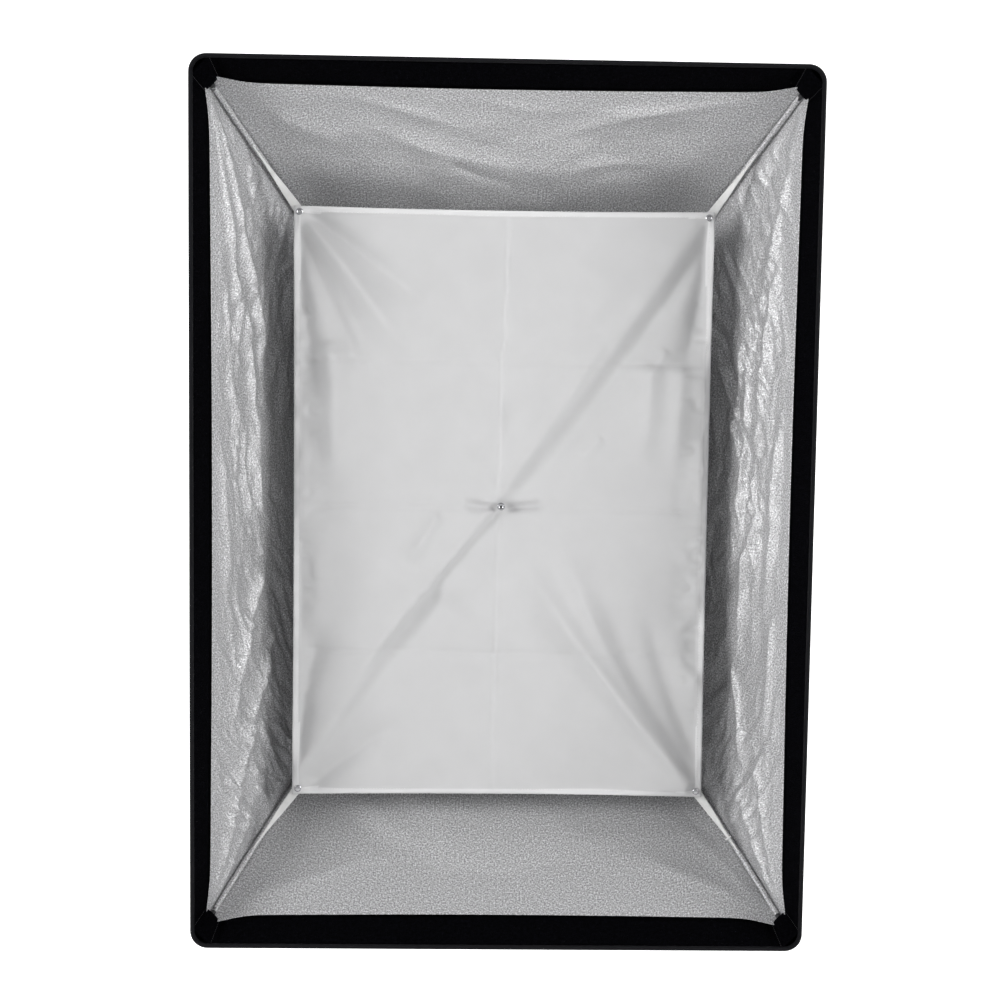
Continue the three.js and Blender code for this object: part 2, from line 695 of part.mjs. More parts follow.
function notchedCollarWall() {
  const low = [-NOTCH_HALF_WIDTH, NOTCH_FRONT_Y, -SHELL_REAR_HALF - 1];
  const high = [NOTCH_HALF_WIDTH, COLLAR_WALL_REAR_Y + 1, COLLAR_WALL_THICKNESS + 1 - SHELL_REAR_HALF];
  return geometryFrom(solidFrom(collarWall(-1)).subtract(solidFrom(box(low, high))));
}

// Side flap with a hook-and-loop tab over each sewn wall, on the right or, mirrored, on the left.
function accessFlap(sign) {
  const innerX = SHELL_REAR_HALF + GAP;
  const outerX = innerX + COLLAR_WALL_THICKNESS;
  const tabReachX = outerX - FLAP_TAB_REACH;
  let flap = solidFrom(box([innerX, FLAP_FRONT_Y, -outerX], [outerX, FLAP_REAR_Y, outerX]));
  for (const end of [-1, 1]) {
    const low = [tabReachX, FLAP_TAB_FRONT_Y, Math.min(end * innerX, end * outerX)];
    const high = [outerX, FLAP_TAB_REAR_Y, Math.max(end * innerX, end * outerX)];
    flap = flap.add(solidFrom(box(low, high)));
  }
  return mirrored(geometryFrom(flap), { x: sign, z: 1 });
}

// ---- Assembly ----

function addWalls(group) {
  for (const wall of WALLS) {
    group.add(part(`shell_${wall.name}`, shellWall(wall), FINISHES.blackNylon));
    group.add(part(`lining_${wall.name}`, liningWall(wall), FINISHES.silverLining));
    group.add(part(`lip_${wall.name}`, lipStrip(wall), FINISHES.blackNylon));
    group.add(part(`hook_tape_${wall.name}`, tapeStrip(wall), FINISHES.hookTape));
  }
}

function addCorners(group) {
  for (const corner of CORNERS) {
    const add = (name, geometry, material) => {
      group.add(part(`${name}_${corner.name}`, mirrored(geometry, corner), material));
    };
    add('lip_corner', lipCorner(), FINISHES.blackNylon);
    add('corner_pocket', cornerPocket(), FINISHES.blackNylon);
    add('rod', rod(), FINISHES.springSteel);
    add('rod_cap', rodCap(), FINISHES.knobPlastic);
    add('baffle_strap', baffleStrap(), FINISHES.whiteTape);
  }
}

function addRing(group) {
  group.add(part('speedring', speedring(), FINISHES.castAluminium));
  ringAngles(CLIP_COUNT).forEach((angle, i) => {
    group.add(part(`retaining_clip_${i + 1}`, retainingClip(angle), FINISHES.springSteel));
    group.add(part(`clip_screw_${i + 1}`, clipScrew(angle), FINISHES.chrome));
  });
}

function softboxBody() {
  const group = new THREE.Group();
  addWalls(group);
  addCorners(group);
  addRing(group);
  group.add(part('front_binding', frontBinding(), FINISHES.blackNylon));
  group.add(part('collar_top', collarWall(1), FINISHES.blackNylon));
  group.add(part('collar_bottom', notchedCollarWall(), FINISHES.blackNylon));
  return group;
}

function baffleBody() {
  const group = new THREE.Group();
  group.add(part('inner_baffle', baffleSheet(), FINISHES.whiteFabric));
  group.add(part('centre_stud', centreStud(), FINISHES.chrome));
  for (const place of snapPlaces()) {
    const snap = part(`baffle_snap_${place.name}`, baffleSnap(), FINISHES.chrome);
    snap.position.set(place.x, 0, place.z);
    group.add(snap);
  }
  return group;
}

const softbox = new THREE.Group();
softbox.add(part('bayonet_insert', bayonetInsert(), FINISHES.castAluminium));
softbox.add(softboxBody());
softbox.add(baffleBody());
softbox.add(part('lock_knob', lockKnob(), FINISHES.knobPlastic));
softbox.add(part('access_flap_left', accessFlap(-1), FINISHES.blackNylon));
softbox.add(part('access_flap_right', accessFlap(1), FINISHES.blackNylon));

export default softbox;
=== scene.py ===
"""Looks of a rectangular strip softbox, laid out as an add-on and run as a script.

Every piece is made in metres in the frame of the packed part: +Z is up, the open front faces -Y and the
lamp's axis is Y. Cloth is made as fine grids, hardware with mesh operators.
"""

import math

import bpy
import numpy as np
from bpy.props import FloatProperty, FloatVectorProperty, IntProperty, PointerProperty
from mathutils import Matrix, Vector


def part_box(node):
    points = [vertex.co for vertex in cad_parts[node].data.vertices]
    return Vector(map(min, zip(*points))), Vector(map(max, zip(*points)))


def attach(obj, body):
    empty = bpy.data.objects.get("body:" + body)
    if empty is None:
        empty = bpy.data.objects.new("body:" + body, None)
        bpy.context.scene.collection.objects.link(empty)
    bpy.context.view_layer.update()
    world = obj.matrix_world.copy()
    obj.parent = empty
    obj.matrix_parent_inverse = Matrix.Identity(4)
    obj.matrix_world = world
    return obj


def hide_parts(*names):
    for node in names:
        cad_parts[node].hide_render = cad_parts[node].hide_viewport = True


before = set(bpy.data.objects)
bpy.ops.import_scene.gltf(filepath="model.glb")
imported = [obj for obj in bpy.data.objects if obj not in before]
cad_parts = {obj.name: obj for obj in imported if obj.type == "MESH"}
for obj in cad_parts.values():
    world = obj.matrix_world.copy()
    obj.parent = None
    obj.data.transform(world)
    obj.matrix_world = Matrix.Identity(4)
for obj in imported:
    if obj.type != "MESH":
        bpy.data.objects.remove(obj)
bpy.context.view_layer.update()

bl_info = {
    "name": "Strip softbox",
    "version": (1, 0, 0),
    "blender": (4, 5, 0),
    "location": "3D View > Sidebar > Softbox",
    "description": "Builds the cloth, tape, rods and speedring of a strip softbox",
    "category": "Object",
}

MM = 0.001
TINY = 1e-12
CORNERS = {
    "top_right": (1, 1),
    "top_left": (-1, 1),
    "bottom_left": (-1, -1),
    "bottom_right": (1, -1),
}
WALLS = {"top": (False, 1), "bottom": (False, -1), "left": (True, -1), "right": (True, 1)}


# ---------------------------------------------------------------- form, worked out from the frame


def node_points(node):
    """Vertices of a CAD node as an array."""
    return np.array([v.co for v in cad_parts[node].data.vertices], float)


def shell_form():
    """Half width and half height of the shell against y, as the quadratics that its wall follows."""
    points = np.abs(node_points("shell_top")) * (1, -1, 1)
    depths = np.unique(points[:, 1].round(5))
    rows = [points[np.abs(points[:, 1] - depth) < MM / 10] for depth in depths]
    widths = [row[:, 0].max() for row in rows]
    heights = [row[:, 2].max() for row in rows]
    return np.poly1d(np.polyfit(depths, widths, 2)), np.poly1d(np.polyfit(depths, heights, 2))


def rod_form():
    """The rod's x and z against y in the top right corner, as quadratics."""
    points = node_points("rod_top_right")
    x_form = np.poly1d(np.polyfit(points[:, 1], points[:, 0], 2))
    z_form = np.poly1d(np.polyfit(points[:, 1], points[:, 2], 2))
    return x_form, z_form


HALF_WIDTH, HALF_HEIGHT = shell_form()
ROD_X, ROD_Z = rod_form()
FRONT_LOW, FRONT_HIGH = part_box("front_binding")
SEAM_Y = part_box("shell_top")[0].y
REAR_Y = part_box("shell_top")[1].y
LIP_FRONT_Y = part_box("lip_top")[0].y
LINING_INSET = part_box("shell_top")[1].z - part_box("lining_top")[1].z + MM
BAFFLE_LOW, BAFFLE_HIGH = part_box("inner_baffle")


NOISE_SIZE = 64


def smooth_step(x, low, high):
    """Rises from 0 at low to 1 at high with level ends."""
    s = np.clip((x - low) / (high - low), 0, 1)
    return s * s * (3 - 2 * s)


def lattice_noise(u, v, cell, seed, facets=False):
    """Random heights from -1 to 1 over a sheet, about a cell apart, joined by curves or by flat facets."""
    size = NOISE_SIZE
    table = np.random.default_rng(seed).uniform(-1, 1, (size, size))
    x, y = u / cell, v / cell
    i, j = np.floor(x).astype(int), np.floor(y).astype(int)
    fx, fy = (x - i, y - j) if facets else (smooth_step(x - i, 0, 1), smooth_step(y - j, 0, 1))
    near = table[i % size, j % size] * (1 - fx) + table[(i + 1) % size, j % size] * fx
    far = table[i % size, (j + 1) % size] * (1 - fx) + table[(i + 1) % size, (j + 1) % size] * fx
    return near * (1 - fy) + far * fy


def along_and_across(u, v, start, end):
    """Each place's share of the way along a line, its distance to the line's side, and the line's length."""
    start, end = np.array(start, float), np.array(end, float)
    length = np.linalg.norm(end - start)
    direction = (end - start) / length
    along = ((u - start[0]) * direction[0] + (v - start[1]) * direction[1]) / length
    across = (v - start[1]) * direction[0] - (u - start[0]) * direction[1]
    return along, across, length


def crease(u, v, start, end, width, rise, bend=0.0, spread=0.0, sharp=1.4, fade=0.6):
    """Height of one fold along a line on a sheet. It fades at both ends and may bend and widen."""
    along, across, _ = along_and_across(u, v, start, end)
    across = across - bend * 4 * along * (1 - along)
    half = width * (1 + spread * np.clip(along, 0, 1))
    ends = smooth_step(along, -0.02, 0.12) * (1 - smooth_step(along, fade, 1.02))
    return rise * ends * np.exp(-(np.abs(across / half) ** sharp))


def step_fold(u, v, start, end, steep, broad, rise, bend=0.0, fade=0.8):
    """Height of a fold that rises slowly to a crest, drops steeply and rises slowly again."""
    along, across, _ = along_and_across(u, v, start, end)
    across = across - bend * 4 * along * (1 - along)
    ends = smooth_step(along, -0.03, 0.06) * (1 - smooth_step(along, fade, 1.03))
    return -rise * ends * np.tanh(across / steep) * np.exp(-(np.abs(across / broad) ** 1.2))


def crumple(u, v, heading, cell, stretch, seed):
    """Heights of crumpled cloth: sharp ridges between slack facets, in layers drawn out along a heading."""
    height = np.zeros_like(u)
    share = 1.0
    for layer, swing in enumerate((0.0, 0.36, -0.32)):
        turn = heading + swing
        along = u * math.cos(turn) + v * math.sin(turn)
        across = v * math.cos(turn) - u * math.sin(turn)
        across = across + lattice_noise(along, across, cell * 4, seed + 50) * cell * 0.5
        along = along + lattice_noise(along, across, cell * 2, seed + 60) * cell * 0.7
        ridges = 0.5 - np.abs(lattice_noise(along / stretch, across, cell, seed + layer, facets=True))
        height += share * ridges
        cell, share = cell * 0.55, share * 0.56
    return height


def random_creases(u, v, seed, count, angle, turn, lengths, widths, rise, weight):
    """Adds many random folds. weight gives how strongly each place on the sheet takes them."""
    rng = np.random.default_rng(seed)
    height = np.zeros_like(u)
    u_low, u_high, v_low, v_high = u.min(), u.max(), v.min(), v.max()
    for _ in range(count):
        middle = np.array([rng.uniform(u_low, u_high), rng.uniform(v_low, v_high)])
        heading = angle + rng.normal(0, turn)
        half = 0.5 * rng.uniform(*lengths) * np.array([math.cos(heading), math.sin(heading)])
        width = rng.uniform(*widths)
        amount = rng.uniform(0.3, 1) * rise * rng.choice([-1, 1])
        bend = rng.normal(0, 0.06) * np.linalg.norm(half)
        height += crease(u, v, middle - half, middle + half, width, amount, bend, 0.3, 1.1)
    return height * weight


# ---------------------------------------------------------------- meshes


def deselect():
    bpy.ops.object.select_all(action="DESELECT")


def activate(piece):
    deselect()
    piece.select_set(True)
    bpy.context.view_layer.objects.active = piece


def grid_normals(points, closed=False):
    """Unit normals of a grid of points, rows by columns."""
    if closed:
        wrapped = np.concatenate([points[:, -1:], points, points[:, :1]], axis=1)
        along_columns = np.gradient(wrapped, axis=1)[:, 1:-1]
    else:
        along_columns = np.gradient(points, axis=1)
    along_rows = np.gradient(points, axis=0)
    normals = np.cross(along_columns, along_rows)
    return normals / np.maximum(np.linalg.norm(normals, axis=2, keepdims=True), TINY)


def raised(points, height, closed=False):
    """The grid moved along its normals."""
    return points + grid_normals(points, closed) * height[..., None]


def faced(points, inward, closed=False):
    """The grid turned so that its faces point to the box's axis, or away from it."""
    outward = (grid_normals(points, closed) * points * (1, 0, 1)).sum() > 0
    return points[:, ::-1] if outward == inward else points


def grid_area(points):
    across = np.diff(points, axis=1)[:-1]
    down = np.diff(points, axis=0)[:, :-1]
    return float(np.linalg.norm(np.cross(across, down), axis=2).sum())


def sheet_lengths(points):
    """Distance along each row and down each column of a grid, from its first point."""
    across = np.linalg.norm(np.diff(points, axis=1), axis=2)
    down = np.linalg.norm(np.diff(points, axis=0), axis=2)
    u = np.concatenate([np.zeros((points.shape[0], 1)), np.cumsum(across, axis=1)], axis=1)
    v = np.concatenate([np.zeros((1, points.shape[1])), np.cumsum(down, axis=0)], axis=0)
    return u - u.max(axis=1, keepdims=True) / 2, v


def grid_mesh(name, points, material, closed=False):
    """A mesh of a grid of points, rows by columns, with a UV map in metres. closed joins the last column."""
    rows, columns = points.shape[:2]
    layout = np.arange(rows * columns).reshape(rows, columns)
    if closed:
        layout = np.concatenate([layout, layout[:, :1]], axis=1)
    quads = np.stack([layout[:-1, :-1], layout[:-1, 1:], layout[1:, 1:], layout[1:, :-1]], axis=2)
    mesh = bpy.data.meshes.new(name)
    mesh.vertices.add(rows * columns)
    mesh.vertices.foreach_set("co", points.reshape(-1).astype(np.float32))
    faces = quads.reshape(-1, 4)
    mesh.loops.add(faces.size)
    mesh.loops.foreach_set("vertex_index", faces.reshape(-1).astype(np.int32))
    mesh.polygons.add(len(faces))
    mesh.polygons.foreach_set("loop_start", np.arange(0, faces.size, 4, dtype=np.int32))
    u, v = sheet_lengths(points)
    if closed:
        step = np.linalg.norm(points[:, 0] - points[:, -1], axis=1)
        u = np.concatenate([u, (u[:, -1] + step)[:, None]], axis=1)
        v = np.concatenate([v, v[:, :1]], axis=1)
    place = np.stack([u, v], axis=2)
    corners = [place[:-1, :-1], place[:-1, 1:], place[1:, 1:], place[1:, :-1]]
    layer = mesh.uv_layers.new(name="cloth")
    layer.data.foreach_set("uv", np.stack(corners, axis=2).reshape(-1).astype(np.float32))
    mesh.update(calc_edges=True)
    mesh.shade_smooth()
    mesh.materials.append(material)
    piece = bpy.data.objects.new(name, mesh)
    bpy.context.scene.collection.objects.link(piece)
    return piece


def thicken(piece, thickness):
    """Gives a sheet its thickness, behind the side that its faces point to."""
    activate(piece)
    solidify = piece.modifiers.new("Thickness", "SOLIDIFY")
    solidify.thickness = thickness
    solidify.offset = -1
    solidify.use_rim = True
    bpy.ops.object.modifier_apply(modifier=solidify.name)
    return piece


def cloth_piece(name, points, thickness, material, body, nodes=(), base=None, closed=False):
    """A sheet of cloth from its grid, thickened and dressed. It works out the flat size of its smooth grid,
    which nothing uses.
    """
    smooth = points if base is None else base
    piece = thicken(grid_mesh(name, points, material, closed), thickness)
    u, v = sheet_lengths(smooth)
    area = grid_area(smooth)
    width, length = float(np.ptp(u, axis=1).max()), float(v[-1].mean())
    if closed:
        width += float(np.linalg.norm(smooth[0, 0] - smooth[0, -1]))
        area = width * length
    area = min(area, width * length)
    dress(piece, body, nodes)
    return piece


def dress(piece, body, nodes=()):
    """Makes a piece ride on its body and stands it in for its CAD nodes."""
    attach(piece, body)
    if nodes:
        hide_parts(*nodes)


def mirrored_grid(points, side_x, side_z):
    """Mirrors a grid to another corner and keeps its faces pointing the same way."""
    turned = points * (side_x, 1, side_z)
    return turned if side_x * side_z > 0 else turned[:, ::-1]


def tube_grid(path, radius, sides):
    """Rings of points round a path, rows along the path."""
    tangent = np.gradient(path, axis=0)
    tangent /= np.linalg.norm(tangent, axis=1, keepdims=True)
    side = np.cross(tangent, (0.0, 1.0, 0.0))
    side /= np.linalg.norm(side, axis=1, keepdims=True)
    up = np.cross(side, tangent)
    angles = np.arange(sides) * 2 * math.pi / sides
    spoke = side[:, None] * np.cos(angles)[None, :, None] + up[:, None] * np.sin(angles)[None, :, None]
    return path[:, None] + spoke * radius[..., None]


def outward_tube(grid):
    """The tube turned so that its faces point away from its own middle line."""
    spokes = grid - grid.mean(axis=1, keepdims=True)
    return grid if (grid_normals(grid, closed=True) * spokes).sum() > 0 else grid[:, ::-1]


def stitch_mesh(name, path, normals, pitch, length, radius, material):
    """A row of stitches along a path, each a small closed spindle lying on the cloth."""
    steps = np.linalg.norm(np.diff(path, axis=0), axis=1)
    distance = np.concatenate([[0], np.cumsum(steps)])
    count = max(int(distance[-1] / pitch), 2)
    stops = (np.arange(count) + 0.5) * distance[-1] / count

    def at(values, where):
        return np.stack([np.interp(where, distance, values[:, k]) for k in range(3)], axis=1)

    front, back = at(path, stops + length / 2), at(path, stops - length / 2)
    lift = at(normals, stops)
    middle = (front + back) / 2 + lift * radius * 0.6
    side = np.cross(front - back, lift)
    side /= np.maximum(np.linalg.norm(side, axis=1, keepdims=True), TINY)
    ring = [middle + side * radius, middle + lift * radius, middle - side * radius, middle - lift * radius]
    points = np.stack([back, *ring, front], axis=1)
    faces = [(0, 2, 1), (0, 3, 2), (0, 4, 3), (0, 1, 4), (5, 1, 2), (5, 2, 3), (5, 3, 4), (5, 4, 1)]
    offsets = np.arange(count)[:, None, None] * 6
    mesh = bpy.data.meshes.new(name)
    triangles = (np.array(faces)[None] + offsets).reshape(-1, 3)
    mesh.from_pydata(points.reshape(-1, 3).tolist(), [], triangles.tolist())
    mesh.shade_smooth()
    mesh.materials.append(material)
    piece = bpy.data.objects.new(name, mesh)
    bpy.context.scene.collection.objects.link(piece)
    return piece


# ---------------------------------------------------------------- hardware with mesh operators


CLIP_RADIUS = 0.0692
SCREW_HOLE = 0.0019
RING_BORE = 0.056
RING_OUTER = 0.076
SEAT_RADIUS = 0.0624
SEAT_Y = -0.0124


def middle_of(node):
    """The middle of a CAD node's box."""
    low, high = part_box(node)
    return (low + high) / 2


def facing(direction):
    """The turn that carries +Z to a direction."""
    return Vector(direction).normalized().to_track_quat("Z", "Y").to_matrix().to_4x4()


def turned_piece(name, rings, vertices, material, place, closed=False):
    """A turned piece: a circle drawn out ring by ring, as (radius, height), and capped or closed on itself."""
    deselect()
    first_radius, first_height = rings[0]
    bpy.ops.mesh.primitive_circle_add(vertices=vertices, radius=first_radius, location=(0, 0, first_height))
    piece = bpy.context.active_object
    piece.name = name
    bpy.ops.object.transform_apply(location=True)
    bpy.ops.object.mode_set(mode="EDIT")
    bpy.ops.mesh.select_all(action="SELECT")
    if not closed:
        bpy.ops.mesh.edge_face_add()
    radius, height = first_radius, first_height
    for next_radius, next_height in rings[1:]:
        bpy.ops.mesh.extrude_edges_move() if closed else bpy.ops.mesh.extrude_region_move()
        scale = next_radius / radius
        centre = (0, 0, height)
        bpy.ops.transform.resize(value=(scale, scale, 1), center_override=centre)
        bpy.ops.transform.translate(value=(0, 0, next_height - height))
        radius, height = next_radius, next_height
    if closed:
        bridge_ends(piece, rings[0], rings[-1])
    bpy.ops.mesh.select_all(action="SELECT")
    bpy.ops.mesh.remove_doubles(threshold=1e-6)
    bpy.ops.mesh.normals_make_consistent(inside=False)
    bpy.ops.object.mode_set(mode="OBJECT")
    piece.data.materials.append(material)
    piece.data.transform(place)
    return piece


def bridge_ends(piece, first, last):
    """Joins the first and last ring of a turned piece that closes on itself."""
    bpy.ops.object.mode_set(mode="OBJECT")
    for edge in piece.data.edges:
        ends = [piece.data.vertices[i].co for i in edge.vertices]
        edge.select = any(
            all(math.isclose(math.hypot(p.x, p.y), radius, abs_tol=1e-6) for p in ends)
            and all(math.isclose(p.z, height, abs_tol=1e-6) for p in ends)
            for radius, height in (first, last)
        )
    bpy.ops.object.mode_set(mode="EDIT")
    bpy.ops.mesh.select_mode(type="EDGE")
    bpy.ops.mesh.bridge_edge_loops()


def soften(piece, width, segments=2, angle=30):
    """Rounds a piece's edges and shades it smooth up to an angle."""
    activate(piece)
    bevel = piece.modifiers.new("Edges", "BEVEL")
    bevel.width = width
    bevel.segments = segments
    bevel.limit_method = "ANGLE"
    bevel.angle_limit = math.radians(angle)
    bpy.ops.object.modifier_apply(modifier=bevel.name)
    bpy.ops.object.shade_smooth_by_angle(angle=math.radians(angle))
    return piece


def combine(piece, tool, operation):
    """Joins or cuts a piece with a tool, which is then removed."""
    activate(piece)
    boolean = piece.modifiers.new("Join", "BOOLEAN")
    boolean.object = tool
    boolean.operation = operation
    boolean.solver = "EXACT"
    bpy.ops.object.modifier_apply(modifier=boolean.name)
    bpy.data.objects.remove(tool)
    return piece


def bar_between(name, start, end, radius, vertices, material):
    """A round bar from one point to another."""
    start, end = Vector(start), Vector(end)
    length = (end - start).length
    place = Matrix.Translation(start) @ facing(end - start)
    return turned_piece(name, [(radius, 0), (radius, length)], vertices, material, place)


# ---------------------------------------------------------------- finishes


def new_finish(name, colour, roughness, metallic=0.0):
    """A material with its shader set. Returns it with its node tree and shader."""
    material = bpy.data.materials.new(name)
    material.use_nodes = True
    tree = material.node_tree
    shader = tree.nodes["Principled BSDF"]
    shader.inputs["Base Color"].default_value = (*colour, 1)
    shader.inputs["Roughness"].default_value = roughness
    shader.inputs["Metallic"].default_value = metallic
    return material, tree, shader


def pattern_place(tree, source):
    """Texture coordinates in metres, from the piece's cloth map or its own place."""
    if source == "cloth":
        place = tree.nodes.new("ShaderNodeUVMap")
        place.uv_map = "cloth"
        return place.outputs["UV"]
    return tree.nodes.new("ShaderNodeTexCoord").outputs["Object"]


def noise(tree, place, scale, detail=2.0, roughness=0.5):
    texture = tree.nodes.new("ShaderNodeTexNoise")
    texture.inputs["Scale"].default_value = scale
    texture.inputs["Detail"].default_value = detail
    texture.inputs["Roughness"].default_value = roughness
    tree.links.new(place, texture.inputs["Vector"])
    return texture.outputs["Fac"]


def cells(tree, place, scale):
    texture = tree.nodes.new("ShaderNodeTexVoronoi")
    texture.inputs["Scale"].default_value = scale
    tree.links.new(place, texture.inputs["Vector"])
    return texture.outputs["Distance"]


def ribs(tree, place, pitch, direction, distortion=0.0):
    """Ribs at a pitch in metres. At scale 1 the texture's waves turn 20 radians in a metre."""
    texture = tree.nodes.new("ShaderNodeTexWave")
    texture.bands_direction = direction
    texture.inputs["Scale"].default_value = 2 * math.pi / (pitch * 20)
    texture.inputs["Distortion"].default_value = distortion
    tree.links.new(place, texture.inputs["Vector"])
    return texture.outputs["Fac"]


def product(tree, first, second):
    node = tree.nodes.new("ShaderNodeMath")
    node.operation = "MULTIPLY"
    tree.links.new(first, node.inputs[0])
    tree.links.new(second, node.inputs[1])
    return node.outputs["Value"]


def bump(tree, shader, height, strength, distance, previous=None):
    node = tree.nodes.new("ShaderNodeBump")
    node.inputs["Strength"].default_value = strength
    node.inputs["Distance"].default_value = distance
    tree.links.new(height, node.inputs["Height"])
    if previous is not None:
        tree.links.new(previous, node.inputs["Normal"])
    tree.links.new(node.outputs["Normal"], shader.inputs["Normal"])
    return node.outputs["Normal"]


def grey(level):
    return (level, level, level)


def ramp(tree, value, stops):
    """A colour ramp of (position, colour) stops, read by a value."""
    node = tree.nodes.new("ShaderNodeValToRGB")
    elements = node.color_ramp.elements
    while len(elements) < len(stops):
        elements.new(0.5)
    for element, (position, colour) in zip(elements, stops):
        element.position = position
        element.color = (*colour, 1)
    tree.links.new(value, node.inputs["Fac"])
    return node.outputs["Color"]


def shade(colour, factor):
    return tuple(min(channel * factor, 1.0) for channel in colour)


def mottle(tree, shader, value, colour, dark, bright, start=0.3, stop=0.7):
    """Colours a finish between a darker and a brighter shade of its colour."""
    tone = ramp(tree, value, [(start, shade(colour, dark)), (stop, shade(colour, bright))])
    tree.links.new(tone, shader.inputs["Base Color"])


def vary_gloss(tree, shader, value, low, high, start=0.3):
    """Spreads a finish's roughness between two levels."""
    tree.links.new(ramp(tree, value, [(start, grey(low)), (0.7, grey(high))]), shader.inputs["Roughness"])


def silver_cloth(settings):
    """Metallised lining cloth with a fine pebbled grain. Its colour has painted glints and painted shade: fine
    specks run from half to 1.6 times the silver.
    """
    material, tree, shader = new_finish("silver_lining_cloth", settings.silver, 0.35, 0.32)
    place = pattern_place(tree, "cloth")
    # Painted glints and painted shade: fine noise turns the colour from half the silver to 1.6 times it,
    # standing in for light caught by the grain.
    painted_glints = noise(tree, place, 500, 2, 0.65)
    dark, bright = shade(settings.silver, 0.5), shade(settings.silver, 1.6)
    tone = ramp(tree, painted_glints, [(0.36, dark), (0.52, settings.silver), (0.66, bright)])
    tree.links.new(tone, shader.inputs["Base Color"])
    vary_gloss(tree, shader, noise(tree, place, 300, 1), 0.32, 0.48)
    crackle = bump(tree, shader, noise(tree, place, 110, 3, 0.5), 0.2, 0.0009)
    bump(tree, shader, noise(tree, place, 460, 2, 0.6), settings.grain, 0.0012, crackle)
    return material


def woven(name, colour, roughness, pitch, strength, sheen=0.0, specular=0.4):
    """Plain woven cloth with threads at a pitch in metres."""
    material, tree, shader = new_finish(name, colour, roughness)
    shader.inputs["Specular IOR Level"].default_value = specular
    shader.inputs["Sheen Weight"].default_value = sheen
    shader.inputs["Sheen Roughness"].default_value = 0.5
    place = pattern_place(tree, "cloth")
    warp = ribs(tree, place, pitch, "X", 0.4)
    weft = ribs(tree, place, pitch, "Y", 0.4)
    weave = product(tree, warp, weft)
    soft = bump(tree, shader, noise(tree, place, 60, 3), 0.12, 0.001)
    bump(tree, shader, weave, strength, pitch * 0.4, soft)
    mottle(tree, shader, noise(tree, place, 35, 4), colour, 0.86, 1.12)
    return material


def nylon_cloth(settings):
    return woven("black_nylon_cloth", settings.nylon, 0.6, 0.0009, 0.5, 0.02, 0.2)


def tape_cloth(settings):
    return woven("white_woven_tape", settings.tape, 0.75, 0.0012, 0.6, 0.1)


def hook_cloth(settings):
    """Hook tape: a dense field of small hooks that takes nearly all the light."""
    material, tree, shader = new_finish("black_hook_tape", settings.hook, 1.0)
    shader.inputs["Specular IOR Level"].default_value = 0.02
    place = pattern_place(tree, "cloth")
    hooks = cells(tree, place, 700)
    mottle(tree, shader, noise(tree, place, 260, 2), settings.hook, 0.6, 2.2, 0.35, 0.75)
    bump(tree, shader, hooks, 0.9, 0.0012)
    return material


def grosgrain(settings):
    """Ribbed binding tape. The ribs that give its bumps also paint its colour darker in the grooves between
    them: painted shade.
    """
    material, tree, shader = new_finish("black_grosgrain_tape", settings.binding, 0.7)
    shader.inputs["Specular IOR Level"].default_value = 0.12
    place = pattern_place(tree, "cloth")
    rib_and_groove_shade = ribs(tree, place, 0.0011, "X")
    # Painted shade: the colour follows the ribs' height and is darker in the grooves.
    mottle(tree, shader, rib_and_groove_shade, settings.binding, 0.7, 1.25, 0.1, 0.9)
    bump(tree, shader, rib_and_groove_shade, 0.7, 0.0004)
    return material


def diffusion_cloth(settings):
    """Fine translucent white cloth. Its doubled hem, marked by an attribute, is brighter; the same attribute
    paints a highlight along the tops of the pressed creases.
    """
    material, tree, shader = new_finish("white_diffusion_cloth", settings.cloth, 0.85)
    shader.inputs["Sheen Weight"].default_value = 0.1
    place = pattern_place(tree, "cloth")
    hem_and_highlight_mark = tree.nodes.new("ShaderNodeAttribute")
    hem_and_highlight_mark.attribute_name = "hem"
    # The hem's own lighter colour, and a painted highlight on the pressed creases' tops.
    tone = ramp(tree, hem_and_highlight_mark.outputs["Fac"], [(0.0, settings.cloth), (0.9, settings.hem)])
    blotch = ramp(tree, noise(tree, place, 30, 4), [(0.3, grey(0.965)), (0.7, grey(1.0))])
    mix = tree.nodes.new("ShaderNodeMix")
    mix.data_type = "RGBA"
    mix.blend_type = "MULTIPLY"
    mix.inputs["Factor"].default_value = 1.0
    tree.links.new(tone, mix.inputs["A"])
    tree.links.new(blotch, mix.inputs["B"])
    tree.links.new(mix.outputs["Result"], shader.inputs["Base Color"])
    warp = ribs(tree, place, 0.0006, "X", 0.5)
    weft = ribs(tree, place, 0.0006, "Y", 0.5)
    soft = bump(tree, shader, noise(tree, place, 120, 3), 0.1, 0.0006)
    bump(tree, shader, product(tree, warp, weft), 0.25, 0.0002, soft)
    return material


def thread_finish(name, colour):
    """Twisted sewing thread."""
    material, tree, shader = new_finish(name, colour, 0.6)
    place = pattern_place(tree, "object")
    bump(tree, shader, noise(tree, place, 2500, 1), 0.4, 0.0001)
    mottle(tree, shader, noise(tree, place, 400, 1), colour, 0.8, 1.1)
    return material


def steel_finish(settings):
    """Drawn spring steel with fine lines and a faint stain."""
    material, tree, shader = new_finish("drawn_spring_steel", settings.steel, 0.32, 1.0)
    place = pattern_place(tree, "object")
    mottle(tree, shader, noise(tree, place, 45, 4), settings.steel, 0.75, 1.1)
    vary_gloss(tree, shader, noise(tree, place, 900, 2), 0.26, 0.45)
    bump(tree, shader, noise(tree, place, 1800, 2), 0.15, 0.0001)
    return material


def cast_finish(settings):
    """Cast aluminium: a fine pitted skin with brighter worn places."""
    material, tree, shader = new_finish("cast_aluminium_skin", settings.cast, 0.45, 0.95)
    place = pattern_place(tree, "object")
    mottle(tree, shader, noise(tree, place, 60, 4), settings.cast, 0.8, 1.1)
    vary_gloss(tree, shader, noise(tree, place, 350, 3), 0.36, 0.6)
    bump(tree, shader, noise(tree, place, 1100, 3), 0.35, 0.00025)
    return material


